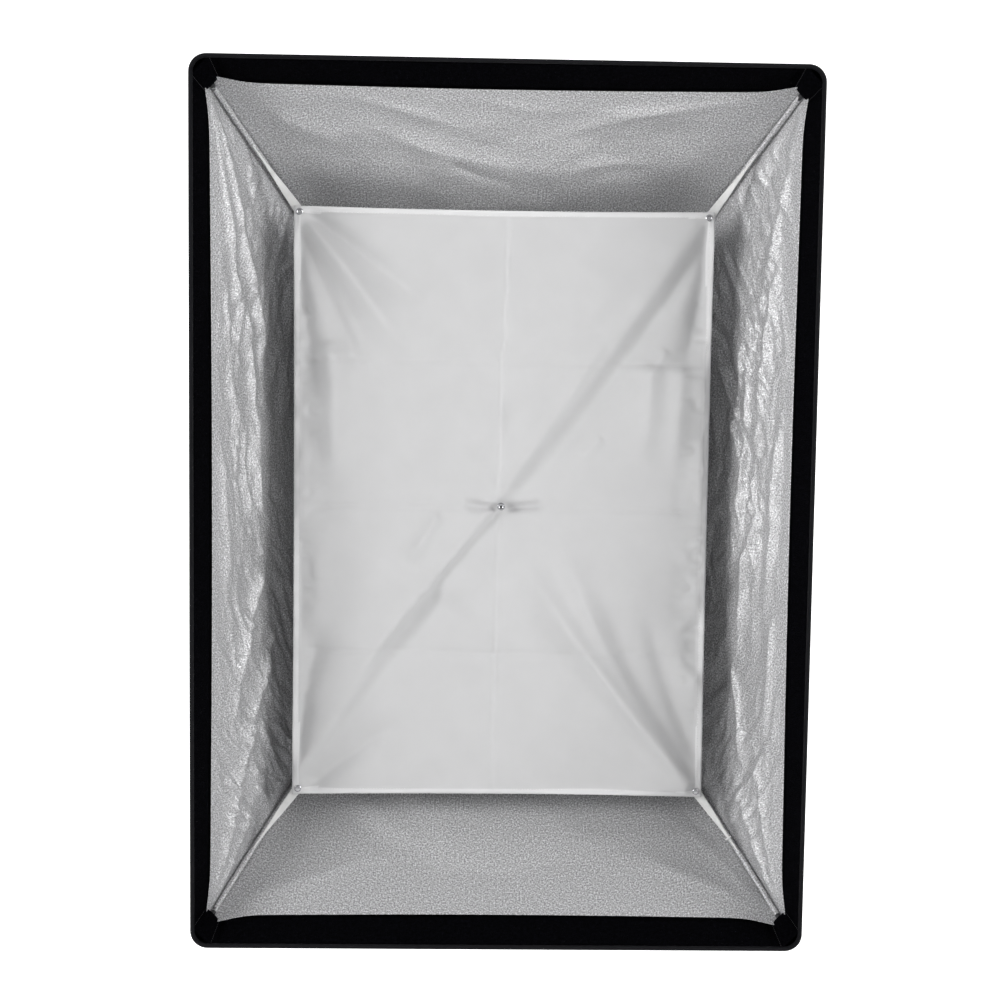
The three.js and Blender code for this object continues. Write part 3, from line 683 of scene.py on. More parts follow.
def nickel_finish(settings):
    """Bright nickel plate with hairline marks."""
    material, tree, shader = new_finish("bright_nickel_plate", settings.nickel, 0.16, 1.0)
    place = pattern_place(tree, "object")
    vary_gloss(tree, shader, noise(tree, place, 700, 3), 0.1, 0.28, 0.35)
    bump(tree, shader, noise(tree, place, 500, 1), 0.06, 0.0001)
    return material


def plastic_finish(settings):
    """Moulded black plastic with a spark-eroded grain."""
    material, tree, shader = new_finish("moulded_black_plastic", settings.plastic, 0.5)
    place = pattern_place(tree, "object")
    mottle(tree, shader, noise(tree, place, 80, 2), settings.plastic, 0.85, 1.3)
    bump(tree, shader, noise(tree, place, 1500, 2), 0.35, 0.0002)
    return material


FINISHES = {}


def finish_of(maker, settings):
    """The finish that a maker function gives, made once."""
    if maker.__name__ not in FINISHES:
        FINISHES[maker.__name__] = maker(settings)
    return FINISHES[maker.__name__]


THREADS = {"black_thread": (0.02, 0.02, 0.024), "white_thread": (0.75, 0.75, 0.75)}


def thread(name):
    """The finish of a thread by its name, made once."""
    if name not in FINISHES:
        FINISHES[name] = thread_finish(name, THREADS[name])
    return FINISHES[name]


# ---------------------------------------------------------------- settings


class SoftboxClothSettings(bpy.types.PropertyGroup):
    """Sizes and colours of the silver lining and the black cloth."""

    spacing: FloatProperty(name="Grid spacing", description="Distance between points of the lining's grid",
                           default=0.003, min=0.002, subtype="DISTANCE", unit="LENGTH")
    fold: FloatProperty(name="Fold height", description="Height of the lining's broad folds",
                        default=0.007, subtype="DISTANCE", unit="LENGTH")
    crinkle: FloatProperty(name="Crinkle height", description="Height of the lining's sharp crinkles",
                           default=0.0042, subtype="DISTANCE", unit="LENGTH")
    crumple: FloatProperty(name="Crumple height", description="Height of the lining's facets",
                           default=0.0066, subtype="DISTANCE", unit="LENGTH")
    sag: FloatProperty(name="Lip sag", description="How far the seam at the lip sags between the corners",
                       default=0.003, subtype="DISTANCE", unit="LENGTH")
    sleeve: FloatProperty(name="Sleeve radius", description="Radius of the tunnel that a rod runs in",
                          default=0.0031, subtype="DISTANCE", unit="LENGTH")
    grain: FloatProperty(name="Grain", description="Strength of the lining's pebbled grain", default=0.75)
    lining_thickness: FloatProperty(name="Lining thickness", description="Thickness of the silver cloth",
                                    default=0.0006, subtype="DISTANCE", unit="LENGTH")
    shell_thickness: FloatProperty(name="Shell thickness", description="Thickness of the black cloth",
                                   default=0.0012, subtype="DISTANCE", unit="LENGTH")
    silver: FloatVectorProperty(name="Silver", description="Colour of the lining", subtype="COLOR",
                                default=(0.53, 0.53, 0.54))
    nylon: FloatVectorProperty(name="Nylon", description="Colour of the black cloth", subtype="COLOR",
                               default=(0.01, 0.01, 0.0115))
    hook: FloatVectorProperty(name="Hook tape", description="Colour of the hook tape", subtype="COLOR",
                              default=(0.0011, 0.0011, 0.0017))
    binding: FloatVectorProperty(name="Binding", description="Colour of the front binding", subtype="COLOR",
                                 default=(0.0075, 0.0075, 0.0092))


class SoftboxBaffleSettings(bpy.types.PropertyGroup):
    """Sizes and colours of the inner baffle and its straps."""

    spacing: FloatProperty(name="Grid spacing", description="Distance between points of the baffle's grid",
                           default=0.0028, min=0.002, subtype="DISTANCE", unit="LENGTH")
    thickness: FloatProperty(name="Thickness", description="Thickness of the white cloth",
                             default=0.0004, subtype="DISTANCE", unit="LENGTH")
    hem_width: FloatProperty(name="Hem width", description="Width of the doubled hem",
                             default=0.0075, subtype="DISTANCE", unit="LENGTH")
    fold: FloatProperty(name="Fold height", description="Height of the folds from corner to corner",
                        default=0.006, subtype="DISTANCE", unit="LENGTH")
    press: FloatProperty(name="Crease height", description="Height of the creases left by folding the cloth",
                         default=0.0034, subtype="DISTANCE", unit="LENGTH")
    strap_width: FloatProperty(name="Strap width", description="Width of the corner straps",
                               default=0.0115, subtype="DISTANCE", unit="LENGTH")
    cloth: FloatVectorProperty(name="Cloth", description="Colour of the white cloth", subtype="COLOR",
                               default=(0.545, 0.545, 0.55))
    # The hem colour is also the painted highlight that the tops of the pressed creases move toward.
    hem: FloatVectorProperty(name="Hem", description="Colour of the doubled hem", subtype="COLOR",
                             default=(0.69, 0.69, 0.695))
    tape: FloatVectorProperty(name="Tape", description="Colour of the strap tape", subtype="COLOR",
                              default=(0.84, 0.84, 0.83))


class SoftboxHardwareSettings(bpy.types.PropertyGroup):
    """Sizes and colours of the rods, the speedring and the fastenings."""

    edge: FloatProperty(name="Edge radius", description="Rounding of the hardware's edges",
                        default=0.0004, subtype="DISTANCE", unit="LENGTH")
    round_vertices: IntProperty(name="Round vertices", description="Vertices round the speedring", default=96)
    steel: FloatVectorProperty(name="Steel", description="Colour of the rods", subtype="COLOR",
                               default=(0.42, 0.42, 0.43))
    cast: FloatVectorProperty(name="Cast", description="Colour of the speedring", subtype="COLOR",
                              default=(0.42, 0.42, 0.44))
    nickel: FloatVectorProperty(name="Nickel", description="Colour of the snaps", subtype="COLOR",
                                default=(0.55, 0.55, 0.57))
    plastic: FloatVectorProperty(name="Plastic", description="Colour of the knob and caps", subtype="COLOR",
                                 default=(0.018, 0.018, 0.02))


class SoftboxStageSettings(bpy.types.PropertyGroup):
    """Camera, floor and lights."""

    distance: FloatProperty(name="Camera distance", description="From the camera to the front of the box",
                            default=1.5, subtype="DISTANCE", unit="LENGTH")
    lens: FloatProperty(name="Lens", description="Focal length in millimetres", default=48.5)
    floor: FloatProperty(name="Floor", description="Height of the floor",
                         default=-1.25, subtype="DISTANCE", unit="LENGTH")
    floor_colour: FloatVectorProperty(name="Floor colour", description="Colour of the floor", subtype="COLOR",
                                      default=(0.85, 0.85, 0.85))
    backdrop: FloatProperty(name="Backdrop", description="Even white light of the backdrop", default=0.95)
    sky: FloatProperty(name="Room light", description="Strength of the even light all round", default=0.62)
    key: FloatProperty(name="Key light", description="Power of the large lamp at the upper left",
                       default=36.0, subtype="POWER", unit="POWER")
    side: FloatProperty(name="Side light", description="Power of the lamps that skim the silver walls",
                        default=40.0, subtype="POWER", unit="POWER")


# ---------------------------------------------------------------- cloth shapes


def wall_grid(wall, depths, inset, end_inset, spacing, ears=False):
    """Smooth grid of one wall of the box: rows go from the rear to the front, columns across."""
    upright, side = WALLS[wall]
    longest = (HALF_HEIGHT if upright else HALF_WIDTH)(depths[-1])
    count = max(int(2 * longest / spacing), 8)
    across = np.linspace(-1, 1, count)
    y = np.repeat(depths[:, None], count, axis=1)
    if ears:
        start = smooth_step(-depths, -SEAM_Y - 0.05, -SEAM_Y)[:, None]
        y = y - start * ear_rise((1 - np.abs(across)) * longest)[None]
        inset = inset + 0.0014 * start
    widths, heights = wall_half(HALF_WIDTH, FRONT_HIGH.x, y), wall_half(HALF_HEIGHT, FRONT_HIGH.z, y)
    if upright:
        return np.stack([side * (widths - inset), y, (heights - end_inset) * across[None]], axis=2)
    return np.stack([(widths - end_inset) * across[None], y, side * (heights - inset)], axis=2)


def wall_half(form, front, y):
    """Half size of the box at y, carried on along the lip in front of the seam."""
    seam = form(SEAM_Y)
    lip = seam + (front - seam) * (SEAM_Y - y) / (SEAM_Y - LIP_FRONT_Y)
    return np.where(y < SEAM_Y, lip, form(y))


def ear_rise(distance):
    """How far the lining reaches forward over the lip at a distance from a corner."""
    return 0.0012 + 0.013 * np.exp(-((distance / 0.032) ** 2))


def wall_depths(start, stop, spacing):
    """Depths spaced evenly along the longer wall's slope."""
    count = max(int(math.dist((start, HALF_HEIGHT(start)), (stop, HALF_HEIGHT(stop))) / spacing), 6)
    return np.linspace(start, stop, count)


def lining_depths(settings):
    """Depths of the lining's rows: close together from the lip to behind the baffle, wider apart behind."""
    behind_baffle, wide_spacing = SEAM_Y + 0.14, 0.0055
    rear = wall_depths(REAR_Y, behind_baffle, wide_spacing)
    return np.concatenate([rear[:-1], wall_depths(behind_baffle, SEAM_Y, 0.8 * settings.spacing)])


def lip_sag(settings, share):
    """How far the lip's seam sags inward at a place along a wall, share from -1 to 1."""
    return settings.sag * (1 - share**2) ** 1.5


LINING_LOOKS = {
    "top": {"seed": 3, "count": 30, "angle": 0.25, "turn": 0.5, "crinkle": 0.7,
            "crumple": 0.4, "stretch": 3.0, "cell": 0.034},
    "bottom": {"seed": 9, "count": 16, "angle": 1.3, "turn": 0.7, "crinkle": 0.35,
               "crumple": 0.12, "stretch": 2.0, "cell": 0.04},
    "left": {"seed": 21, "count": 130, "angle": 0.16, "turn": 0.25, "crinkle": 1.0,
             "crumple": 1.05, "stretch": 3.6, "cell": 0.0165},
    "right": {"seed": 33, "count": 120, "angle": -0.1, "turn": 0.22, "crinkle": 1.0,
              "crumple": 0.85, "stretch": 3.6, "cell": 0.017},
}
LINING_FOLDS = {
    # start, end, width, rise, bend: share of the wall's half length, then distance from the lip's seam
    "top": [
        ((-0.62, 0.01), (0.02, 0.09), 0.007, 0.45, -0.01),
        ((0.86, 0.012), (0.05, 0.088), 0.008, 0.5, 0.014),
        ((-0.12, 0.012), (0.3, 0.03), 0.006, 0.35, 0.008),
        ((0.3, 0.03), (0.75, 0.012), 0.007, 0.4, 0.01),
        ((-0.4, 0.075), (0.3, 0.12), 0.009, 0.35, 0.012),
        ((0.03, 0.07), (0.01, 0.2), 0.005, 0.35, 0.0),
        ((0.25, 0.115), (0.62, 0.12), 0.006, 0.35, -0.008),
        ((-0.8, 0.05), (-0.5, 0.1), 0.016, 0.5, 0.0),
        ((-0.2, 0.11), (0.1, 0.14), 0.006, -0.35, 0.006),
    ],
    "bottom": [
        ((-0.95, 0.006), (-0.3, 0.09), 0.016, 0.5, 0.01),
        ((0.95, 0.006), (0.35, 0.1), 0.014, 0.6, -0.01),
        ((0.93, 0.02), (0.62, 0.16), 0.01, 0.5, -0.008),
        ((-0.2, 0.05), (-0.17, 0.2), 0.005, 0.2, 0.0),
        ((-0.7, 0.05), (0.7, 0.06), 0.03, -0.5, -0.012),
    ],
    "left": [
        ((0.97, 0.006), (0.35, 0.075), 0.006, 0.95, 0.0),
        ((0.96, 0.012), (0.3, 0.125), 0.007, 0.9, -0.006),
        ((0.97, 0.02), (0.55, 0.15), 0.007, -0.7, -0.006),
        ((0.9, 0.004), (0.45, 0.03), 0.005, 0.7, 0.004),
        ((0.55, 0.03), (0.1, 0.06), 0.006, 0.6, 0.006),
        ((0.5, 0.07), (-0.1, 0.09), 0.006, 0.6, -0.008),
        ((0.15, 0.02), (-0.35, 0.05), 0.007, 0.7, 0.004),
        ((-0.15, 0.11), (-0.65, 0.03), 0.007, 0.8, 0.006),
        ((-0.3, 0.13), (-0.8, 0.04), 0.006, 0.7, -0.004),
        ((-0.96, 0.01), (-0.4, 0.1), 0.007, 0.8, 0.008),
        ((-0.95, 0.006), (-0.55, 0.04), 0.006, -0.5, 0.0),
        ((-0.97, 0.02), (-0.6, 0.16), 0.007, 0.6, 0.0),
    ],
    "right": [
        ((0.97, 0.008), (0.4, 0.09), 0.007, 0.7, 0.004),
        ((0.96, 0.02), (0.55, 0.15), 0.009, -0.5, 0.0),
        ((0.6, 0.04), (0.05, 0.07), 0.005, 0.7, -0.006),
        ((0.4, 0.09), (-0.2, 0.1), 0.005, 0.7, 0.006),
        ((0.2, 0.03), (-0.3, 0.05), 0.006, 0.6, 0.004),
        ((-0.1, 0.08), (-0.4, 0.1), 0.004, 0.7, 0.0),
        ((-0.25, 0.03), (-0.7, 0.05), 0.007, 0.9, 0.004),
        ((-0.4, 0.11), (-0.75, 0.085), 0.005, 0.8, 0.003),
        ((-0.97, 0.012), (-0.5, 0.08), 0.007, 1.0, -0.004),
        ((-0.96, 0.02), (-0.62, 0.13), 0.007, 0.9, 0.0),
        ((-0.96, 0.006), (-0.6, 0.025), 0.005, 0.6, 0.0),
    ],
}


def lining_height(wall, base, u, v, share, settings):
    """Inward height of one lining wall's folds, level at its seams."""
    look = LINING_LOOKS[wall]
    seam = v[-1:] - v
    edge = smooth_step(1 - np.abs(share), 0.0, 0.07) * smooth_step(v, 0, 0.03)
    near, far = edge * smooth_step(seam, 0.001, 0.022), edge * smooth_step(seam, 0.01, 0.12)
    bulge = settings.fold * 1.1 * (1 - share**2) * np.sin(math.pi * v / v[-1:])
    ripple = lattice_noise(u, v * 0.6, 0.11, look["seed"]) * settings.fold * 0.55
    ripple = ripple + lattice_noise(u + v * 0.5, v, 0.045, look["seed"] + 1) * settings.fold * 0.3
    weight = 0.55 + 0.45 * smooth_step(lattice_noise(u, v, 0.16, look["seed"] + 2), -0.4, 0.5)
    crinkles = random_creases(u, v, look["seed"] + 3, look["count"], look["angle"], look["turn"],
                              (0.06, 0.24), (0.0028, 0.0065), settings.crinkle * look["crinkle"], weight)
    facets = crumple(u, v, look["angle"], look["cell"], look["stretch"], look["seed"] + 4)
    facets = facets * settings.crumple * look["crumple"] * (0.4 + 0.6 * smooth_step(seam, 0, 0.06))
    height = (bulge + ripple + crinkles * 0.4) * far + (facets * weight + crinkles * 0.3) * near
    along = base[..., 2 if WALLS[wall][0] else 0]
    half = np.abs(along).max()
    for start, end, width, rise, bend in LINING_FOLDS[wall]:
        a, b = (start[0] * half, start[1]), (end[0] * half, end[1])
        fold = crease(along, seam, a, b, width, rise * settings.fold, bend, 0.8, 1.3, 0.45)
        height = height + fold * smooth_step(1 - np.abs(share), 0, 0.03) * smooth_step(seam, 0, 0.05)
    return np.maximum(height, -0.0004)


def lining_wall(wall, settings):
    """One silver wall with its folds, seamed to the lip along a sagging edge."""
    depths = lining_depths(settings)
    base = faced(wall_grid(wall, depths, LINING_INSET, LINING_INSET, settings.spacing, True), inward=True)
    u, v = sheet_lengths(base)
    share = np.linspace(-1, 1, base.shape[1])[None] * np.ones((base.shape[0], 1))
    height = lining_height(wall, base, u, v, share, settings)
    sag = lip_sag(settings, share) * (1 - smooth_step(v[-1:] - v, 0, 0.12))
    points = raised(base, height + sag)
    return cloth_piece(f"silver_wall_{wall}", points, settings.lining_thickness,
                       finish_of(silver_cloth, settings), "softbox",
                       [f"lining_{wall}"], base=base)


def rod_place(y):
    """Where the rod in the top right corner is at a depth."""
    return Vector((ROD_X(y), y, ROD_Z(y)))


def rod_path(start, stop, step):
    """Points down the rod in the top right corner, about a step apart."""
    y = np.linspace(start, stop, max(int(abs(stop - start) * 1.4 / step), 2))
    return np.stack([ROD_X(y), y, ROD_Z(y)], axis=1)


def rod_sleeve(corner, settings):
    """The lining's tunnel that the rod runs in, from the middle of the wall to the lip."""
    sides = CORNERS[corner]
    step, around = 0.004, 16
    path = rod_path(SEAM_Y + 0.18, SEAM_Y - MM, step)
    row, column = np.meshgrid(np.arange(len(path)) * step, np.arange(around) * 0.0017, indexing="ij")
    ripple = lattice_noise(row * 0.5, column, 0.006, 50 + list(CORNERS).index(corner)) * 0.0003
    grid = outward_tube(mirrored_grid(tube_grid(path, settings.sleeve + ripple, around), *sides))
    piece = grid_mesh(f"rod_sleeve_{corner}", grid, finish_of(silver_cloth, settings), closed=True)
    thicken(piece, settings.lining_thickness)
    dress(piece, "softbox")


def shell_wall(wall, settings):
    """One black outer wall, drawn tight by the rods, with shallow pulls at its seams."""
    spacing = settings.spacing * 2
    depths = wall_depths(REAR_Y + 2 * MM, SEAM_Y, spacing)
    base = faced(wall_grid(wall, depths, 0, 0.0002, spacing), inward=False)
    u, v = sheet_lengths(base)
    share = np.linspace(-1, 1, base.shape[1])[None] * np.ones((base.shape[0], 1))
    seed = 70 + 7 * list(WALLS).index(wall)
    edge = smooth_step(1 - np.abs(share), 0, 0.08) * smooth_step(v, 0, 0.02) * smooth_step(v[-1:] - v, 0, 0.02)
    ripple = (lattice_noise(u, v * 0.5, 0.13, seed) + 0.9) * 0.0026
    ripple = ripple + (lattice_noise(u * 1.3, v, 0.04, seed + 1) + 0.6) * 0.0007
    folds = np.zeros_like(u)
    for side in (-1, 1):
        for i in range(4):
            start = (side * (u.max() - 0.01 - 0.02 * i), v.max() - 0.006)
            end = (start[0] * (0.82 - 0.05 * i), v.max() * (0.45 + 0.1 * i))
            folds += crease(u, v, start, end, 0.007, 0.0022, side * 0.008, 1.2)
    creases = random_creases(u, v, seed + 2, 36, 0.3, 0.8, (0.05, 0.2), (0.003, 0.007), 0.0012, 1.0)
    points = raised(base, np.maximum((ripple + folds + creases) * edge, 0))
    return cloth_piece(f"outer_wall_{wall}", points, settings.shell_thickness,
                       finish_of(nylon_cloth, settings), "softbox",
                       [f"shell_{wall}"], base=base)


def corner_piping(corner, settings):
    """Folded seam tape down one outer corner of the shell."""
    sides = CORNERS[corner]
    y = np.linspace(REAR_Y + 0.001, SEAM_Y, 120)
    edge = np.stack([HALF_WIDTH(y), y, HALF_HEIGHT(y)], axis=1)
    leg, rise, bend, gap = 0.0055, 0.0009, 0.0008, 0.0001
    angles = np.linspace(0, math.pi / 2, 5)
    section = [(-leg, rise), (-leg / 2, rise)]
    section += [(bend * math.sin(a), gap + bend * math.cos(a)) for a in angles]
    section += [(rise, -leg / 2), (rise, -leg)]
    grid = np.stack([edge + np.array([dx, 0, dz]) for dx, dz in section], axis=1)
    grid = mirrored_grid(grid, *sides)
    piece = grid_mesh(f"corner_piping_{corner}", grid[:, ::-1], finish_of(grosgrain, settings))
    thicken(piece, 0.0008)
    dress(piece, "softbox")


LIP_ARC_STEPS = 10
LIP_SIDE_STEPS = (150, 210)
LIP_INWARD = ((0, -1), (1, 0), (0, 1), (-1, 0))


def rounded_loop(half_x, half_z, radius):
    """Points round a rectangle with round corners, each with its share along its side and its way inward."""
    corners = []
    for k, (side_x, side_z) in enumerate(CORNERS.values()):
        angles = (k + np.linspace(0, 1, LIP_ARC_STEPS + 1)) * math.pi / 2
        middle = (side_x * (half_x - radius), side_z * (half_z - radius))
        corners.append(middle + radius * np.stack([np.cos(angles), np.sin(angles)], axis=1))
    points, shares, inward = [], [], []
    for k, corner in enumerate(corners):
        steps = LIP_SIDE_STEPS[k % 2]
        way = np.arange(1, steps)[:, None] / steps
        side = corner[-1] * (1 - way) + corners[(k + 1) % len(corners)][0] * way
        points += [corner, side]
        shares += [np.ones(len(corner)), 2 * way[:, 0] - 1]
        inward += [np.tile(LIP_INWARD[k], (len(corner) + len(side), 1))]
    return np.concatenate(points), np.concatenate(shares), np.concatenate(inward)


def lip_half(depth_share):
    """Half width, half height and depth of the lip, from its seam at depth_share 0 to its front at 1."""
    half_x = HALF_WIDTH(SEAM_Y) * (1 - depth_share) + FRONT_HIGH.x * depth_share
    half_z = HALF_HEIGHT(SEAM_Y) * (1 - depth_share) + FRONT_HIGH.z * depth_share
    return half_x, half_z, SEAM_Y * (1 - depth_share) + LIP_FRONT_Y * depth_share


def lip_loop(depth_share, inset, settings):
    """One loop of points round the lip. It sags inward near the seam."""
    half_x, half_z, y = lip_half(depth_share)
    radius = max(0.006 * (1 - depth_share) + 0.02 * depth_share - inset, 0.0015)
    points, shares, inward = rounded_loop(half_x - inset, half_z - inset, radius)
    points = points + inward * (lip_sag(settings, shares) * (1 - depth_share))[:, None]
    return np.stack([points[:, 0], np.full(len(points), y), points[:, 1]], axis=1)


def lip_band(settings):
    """The black lip: one band of cloth round the front, with its rounded corners."""
    shares = np.linspace(0, 1, 14)
    base = np.stack([lip_loop(s, 0, settings) for s in shares])
    u, v = sheet_lengths(base)
    wave = lattice_noise(u, v, 0.09, 91) * 0.0012 + lattice_noise(u, v, 0.03, 92) * 0.0004
    wave = wave * np.sin(math.pi * shares)[:, None]
    outside = raised(faced(base, inward=False, closed=True), np.maximum(wave, 0), closed=True)
    nodes = [f"lip_{wall}" for wall in WALLS] + [f"lip_corner_{corner}" for corner in CORNERS]
    return cloth_piece("lip_band", outside, 0.0015, finish_of(nylon_cloth, settings), "softbox",
                       nodes, closed=True)


def lip_facing(settings):
    """Black facing inside the lip, between the hook tape and the seam."""
    base = np.stack([lip_loop(share, 0.0018, settings) for share in np.linspace(0, 1, 10)])
    grid = faced(base, inward=True, closed=True)
    piece = grid_mesh("lip_facing", grid, finish_of(hook_cloth, settings), closed=True)
    thicken(piece, 0.0002)
    dress(piece, "softbox")


def hook_strip(wall, settings):
    """Hook tape along one side of the lip's inside, with a slightly raised nap."""
    upright, side = WALLS[wall]
    low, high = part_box(f"hook_tape_{wall}")
    length = (high.z - low.z if upright else high.x - low.x) / 2
    shares, across = np.meshgrid(np.linspace(0.1, 0.92, 14), np.linspace(-1, 1, int(2 * length / 0.004)),
                                 indexing="ij")
    half_x, half_z, y = lip_half(shares)
    level = (half_x if upright else half_z) - 0.0032 - lip_sag(settings, across) * (1 - shares)
    order = (side * level, y, across * length) if upright else (across * length, y, side * level)
    points = faced(np.stack(order, axis=2), inward=True)
    u, v = sheet_lengths(points)
    nap = lattice_noise(u, v, 0.006, 120 + side) * 0.00025 + lattice_noise(u, v, 0.05, 130 + side) * 0.0005
    return cloth_piece(f"hook_strip_{wall}", raised(points, nap), 0.0012, finish_of(hook_cloth, settings),
                       "softbox", [f"hook_tape_{wall}"], base=points)


def corner_pocket(corner, settings):
    """Black patch across one corner of the lip that hides and holds the rod's end."""
    front = np.linspace(0.16, 0.97, 12)[:, None]
    reach = np.linspace(-1, 1, 12)[None]
    half_x, half_z, y = lip_half(front)
    leg, near = 0.0165 + 0.0055 * front, 0.0024
    share = (reach + 1) / 2
    bow = 0.0016 * (1 - reach**2) * np.sin(math.pi * front)
    x = half_x - leg * (1 - share) - near * share - bow
    z = half_z - near * (1 - share) - leg * share - bow
    points = np.stack([x, (y - 0.0004) * np.ones_like(x), z], axis=2)
    grid = faced(mirrored_grid(points, *CORNERS[corner]), inward=True)
    piece = cloth_piece(f"pocket_{corner}", grid, 0.001, finish_of(hook_cloth, settings), "softbox",
                        [f"corner_pocket_{corner}"])
    normals = grid_normals(grid)
    for column, side in ((0, "a"), (-1, "b")):
        stitches = stitch_mesh(f"pocket_seam_{corner}_{side}", grid[:, column], normals[:, column],
                               0.0028, 0.0024, 0.00055, thread("black_thread"))
        dress(stitches, "softbox")
    return piece


def front_binding(settings):
    """Grosgrain tape folded over the lip's front edge."""
    low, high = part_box("front_binding")
    corner_reach = 0.03
    section = [(0.0022 - 0.0021 * math.sin(a), low.y + (high.y - low.y) * (1 - math.cos(a)))
               for a in np.linspace(math.pi / 2, -math.pi / 2, 13)]
    section = [(0.0001, high.y + 0.009), *section, (0.0044, high.y + 0.0015)]
    loops = []
    for inset, y in section:
        loop = lip_loop(1.0, inset, settings)
        lean = max((y - LIP_FRONT_Y) / (SEAM_Y - LIP_FRONT_Y), 0)
        half_sizes = ((0, FRONT_HIGH.x, HALF_WIDTH(SEAM_Y)), (2, FRONT_HIGH.z, HALF_HEIGHT(SEAM_Y)))
        for axis, front, seam in half_sizes:
            place = loop[:, axis]
            place -= np.sign(place) * (front - seam) * lean * (np.abs(place) > front - corner_reach)
        loop[:, 1] = y
        loops.append(loop)
    points = np.stack(loops)
    outer_rows = points[:2]
    outward = (grid_normals(outer_rows, closed=True) * outer_rows * (1, 0, 1)).sum() > 0
    points = points if outward else points[:, ::-1]
    return cloth_piece("binding_tape", points, 0.0006, finish_of(grosgrain, settings), "softbox",
                       ["front_binding"], closed=True)


# ---------------------------------------------------------------- baffle


BAFFLE_STEPS = [
    # start, end, steep width, broad width, rise, bend, fade: places in shares of the half width and half height
    ((1.0, 1.0), (0.0, 0.0), 0.008, 0.04, 0.85, 0.004, 0.97),
    ((0.5, 0.56), (0.03, 0.05), 0.005, 0.03, 0.45, 0.002, 0.95),
    ((0.6, 0.74), (-0.4, -0.12), 0.022, 0.05, 1.1, -0.014, 0.7),
    ((0.02, 0.02), (-0.72, -0.64), 0.0045, 0.03, 1.15, -0.003, 0.6),
    ((-0.3, -0.28), (-1.0, -1.0), 0.009, 0.04, 1.2, -0.003, 0.9),
    ((-0.98, 0.98), (-0.5, 0.32), 0.008, 0.024, 1.0, 0.0, 0.5),
    ((0.98, -0.98), (0.2, -0.2), 0.012, 0.03, -0.9, 0.01, 0.6),
]
BAFFLE_FOLDS = [
    # start, end, width, rise, bend, spread: in shares of the sheet's half width and half height
    ((0.97, -0.97), (0.02, -0.1), 0.008, 0.75, 0.008, 1.3),
    ((0.98, -0.94), (0.24, 0.0), 0.009, 0.6, 0.022, 1.2),
    ((0.99, -0.96), (0.45, -0.25), 0.009, -0.6, 0.014, 1.2),
    ((0.985, -0.88), (0.7, -0.3), 0.01, -0.45, 0.008, 1.0),
    ((1.0, 0.945), (0.05, -0.02), 0.01, -0.36, 0.004, 0.4),
    ((-0.97, 0.97), (-0.45, 0.5), 0.008, 0.7, 0.004, 1.2),
    ((-0.96, 0.985), (-0.3, 0.62), 0.008, -0.55, 0.006, 1.4),
    ((-0.985, 0.95), (-0.62, 0.36), 0.008, -0.6, 0.002, 1.2),
    ((-0.99, 0.9), (-0.86, 0.3), 0.008, -0.55, -0.002, 0.8),
    ((-0.82, 0.56), (-0.8, 0.04), 0.016, 0.6, 0.003, 0.3),
    ((0.7, 0.5), (0.66, 0.12), 0.014, 0.45, 0.004, 0.4),
    ((0.86, 0.5), (0.84, 0.1), 0.012, 0.4, -0.003, 0.4),
    ((0.985, 0.92), (0.84, 0.4), 0.009, -0.5, 0.004, 0.9),
    ((-0.985, -0.9), (-0.86, -0.35), 0.01, -0.45, 0.002, 0.8),
    ((-0.93, -0.985), (-0.45, -0.72), 0.01, -0.4, 0.0, 0.8),
    ((-0.01, 0.0), (-0.2, 0.012), 0.0035, -0.4, 0.002, 0.8),
    ((0.01, 0.0), (0.22, 0.01), 0.0035, -0.45, -0.002, 0.8),
    ((-0.3, -0.02), (-0.46, -0.2), 0.007, 0.3, 0.003, 0.5),
    ((0.48, 0.24), (0.36, 0.16), 0.006, 0.16, 0.002, 0.4),
    ((0.78, 0.54), (0.7, 0.44), 0.006, 0.14, 0.002, 0.4),
]


PRESSED_CREASES = [
    # start, end, height in pressed creases, width, wobble, painted highlight: how much lighter the crease's top
    # is painted
    ((0.024, 1.0), (-0.016, 0.0), 1.5, 0.0022, 0.002, 0.75),
    ((-0.008, 0.0), (-0.024, -1.0), 1.0, 0.0022, 0.001, 0.25),
    ((-1.0, 0.49), (1.0, 0.485), -0.9, 0.0022, 0.0012, 0.0),
    ((-1.0, -0.005), (1.0, -0.01), -0.8, 0.0022, 0.0012, 0.0),
    ((-1.0, -0.5), (1.0, -0.505), -0.7, 0.0022, 0.0012, 0.0),
]


def pressed_creases(u, v, half_x, half_z, measure):
    """Adds up a measure of the narrow ridges left by folding the cloth flat: its height, or the painted
    highlight along its top.
    """
    total = np.zeros_like(u)
    half = np.array([half_x, half_z])
    for index, (start, end, rise, width, wobble, painted_highlight) in enumerate(PRESSED_CREASES):
        share, across, length = along_and_across(u, v, start * half, end * half)
        along = share * length
        level = np.zeros_like(along)
        across = across + lattice_noise(along, level, 0.03, 201 + 2 * index) * wobble
        inside = smooth_step(along, 0, 0.02) * (1 - smooth_step(along, length - 0.02, length))
        strength = 0.65 + 0.35 * lattice_noise(along, level, 0.05, 202 + 2 * index)
        # The painted highlight lightens the colour along the crease's top.
        amount = rise if measure == "height" else painted_highlight
        total += amount * inside * strength * np.exp(-np.abs(across) / width)
    return total


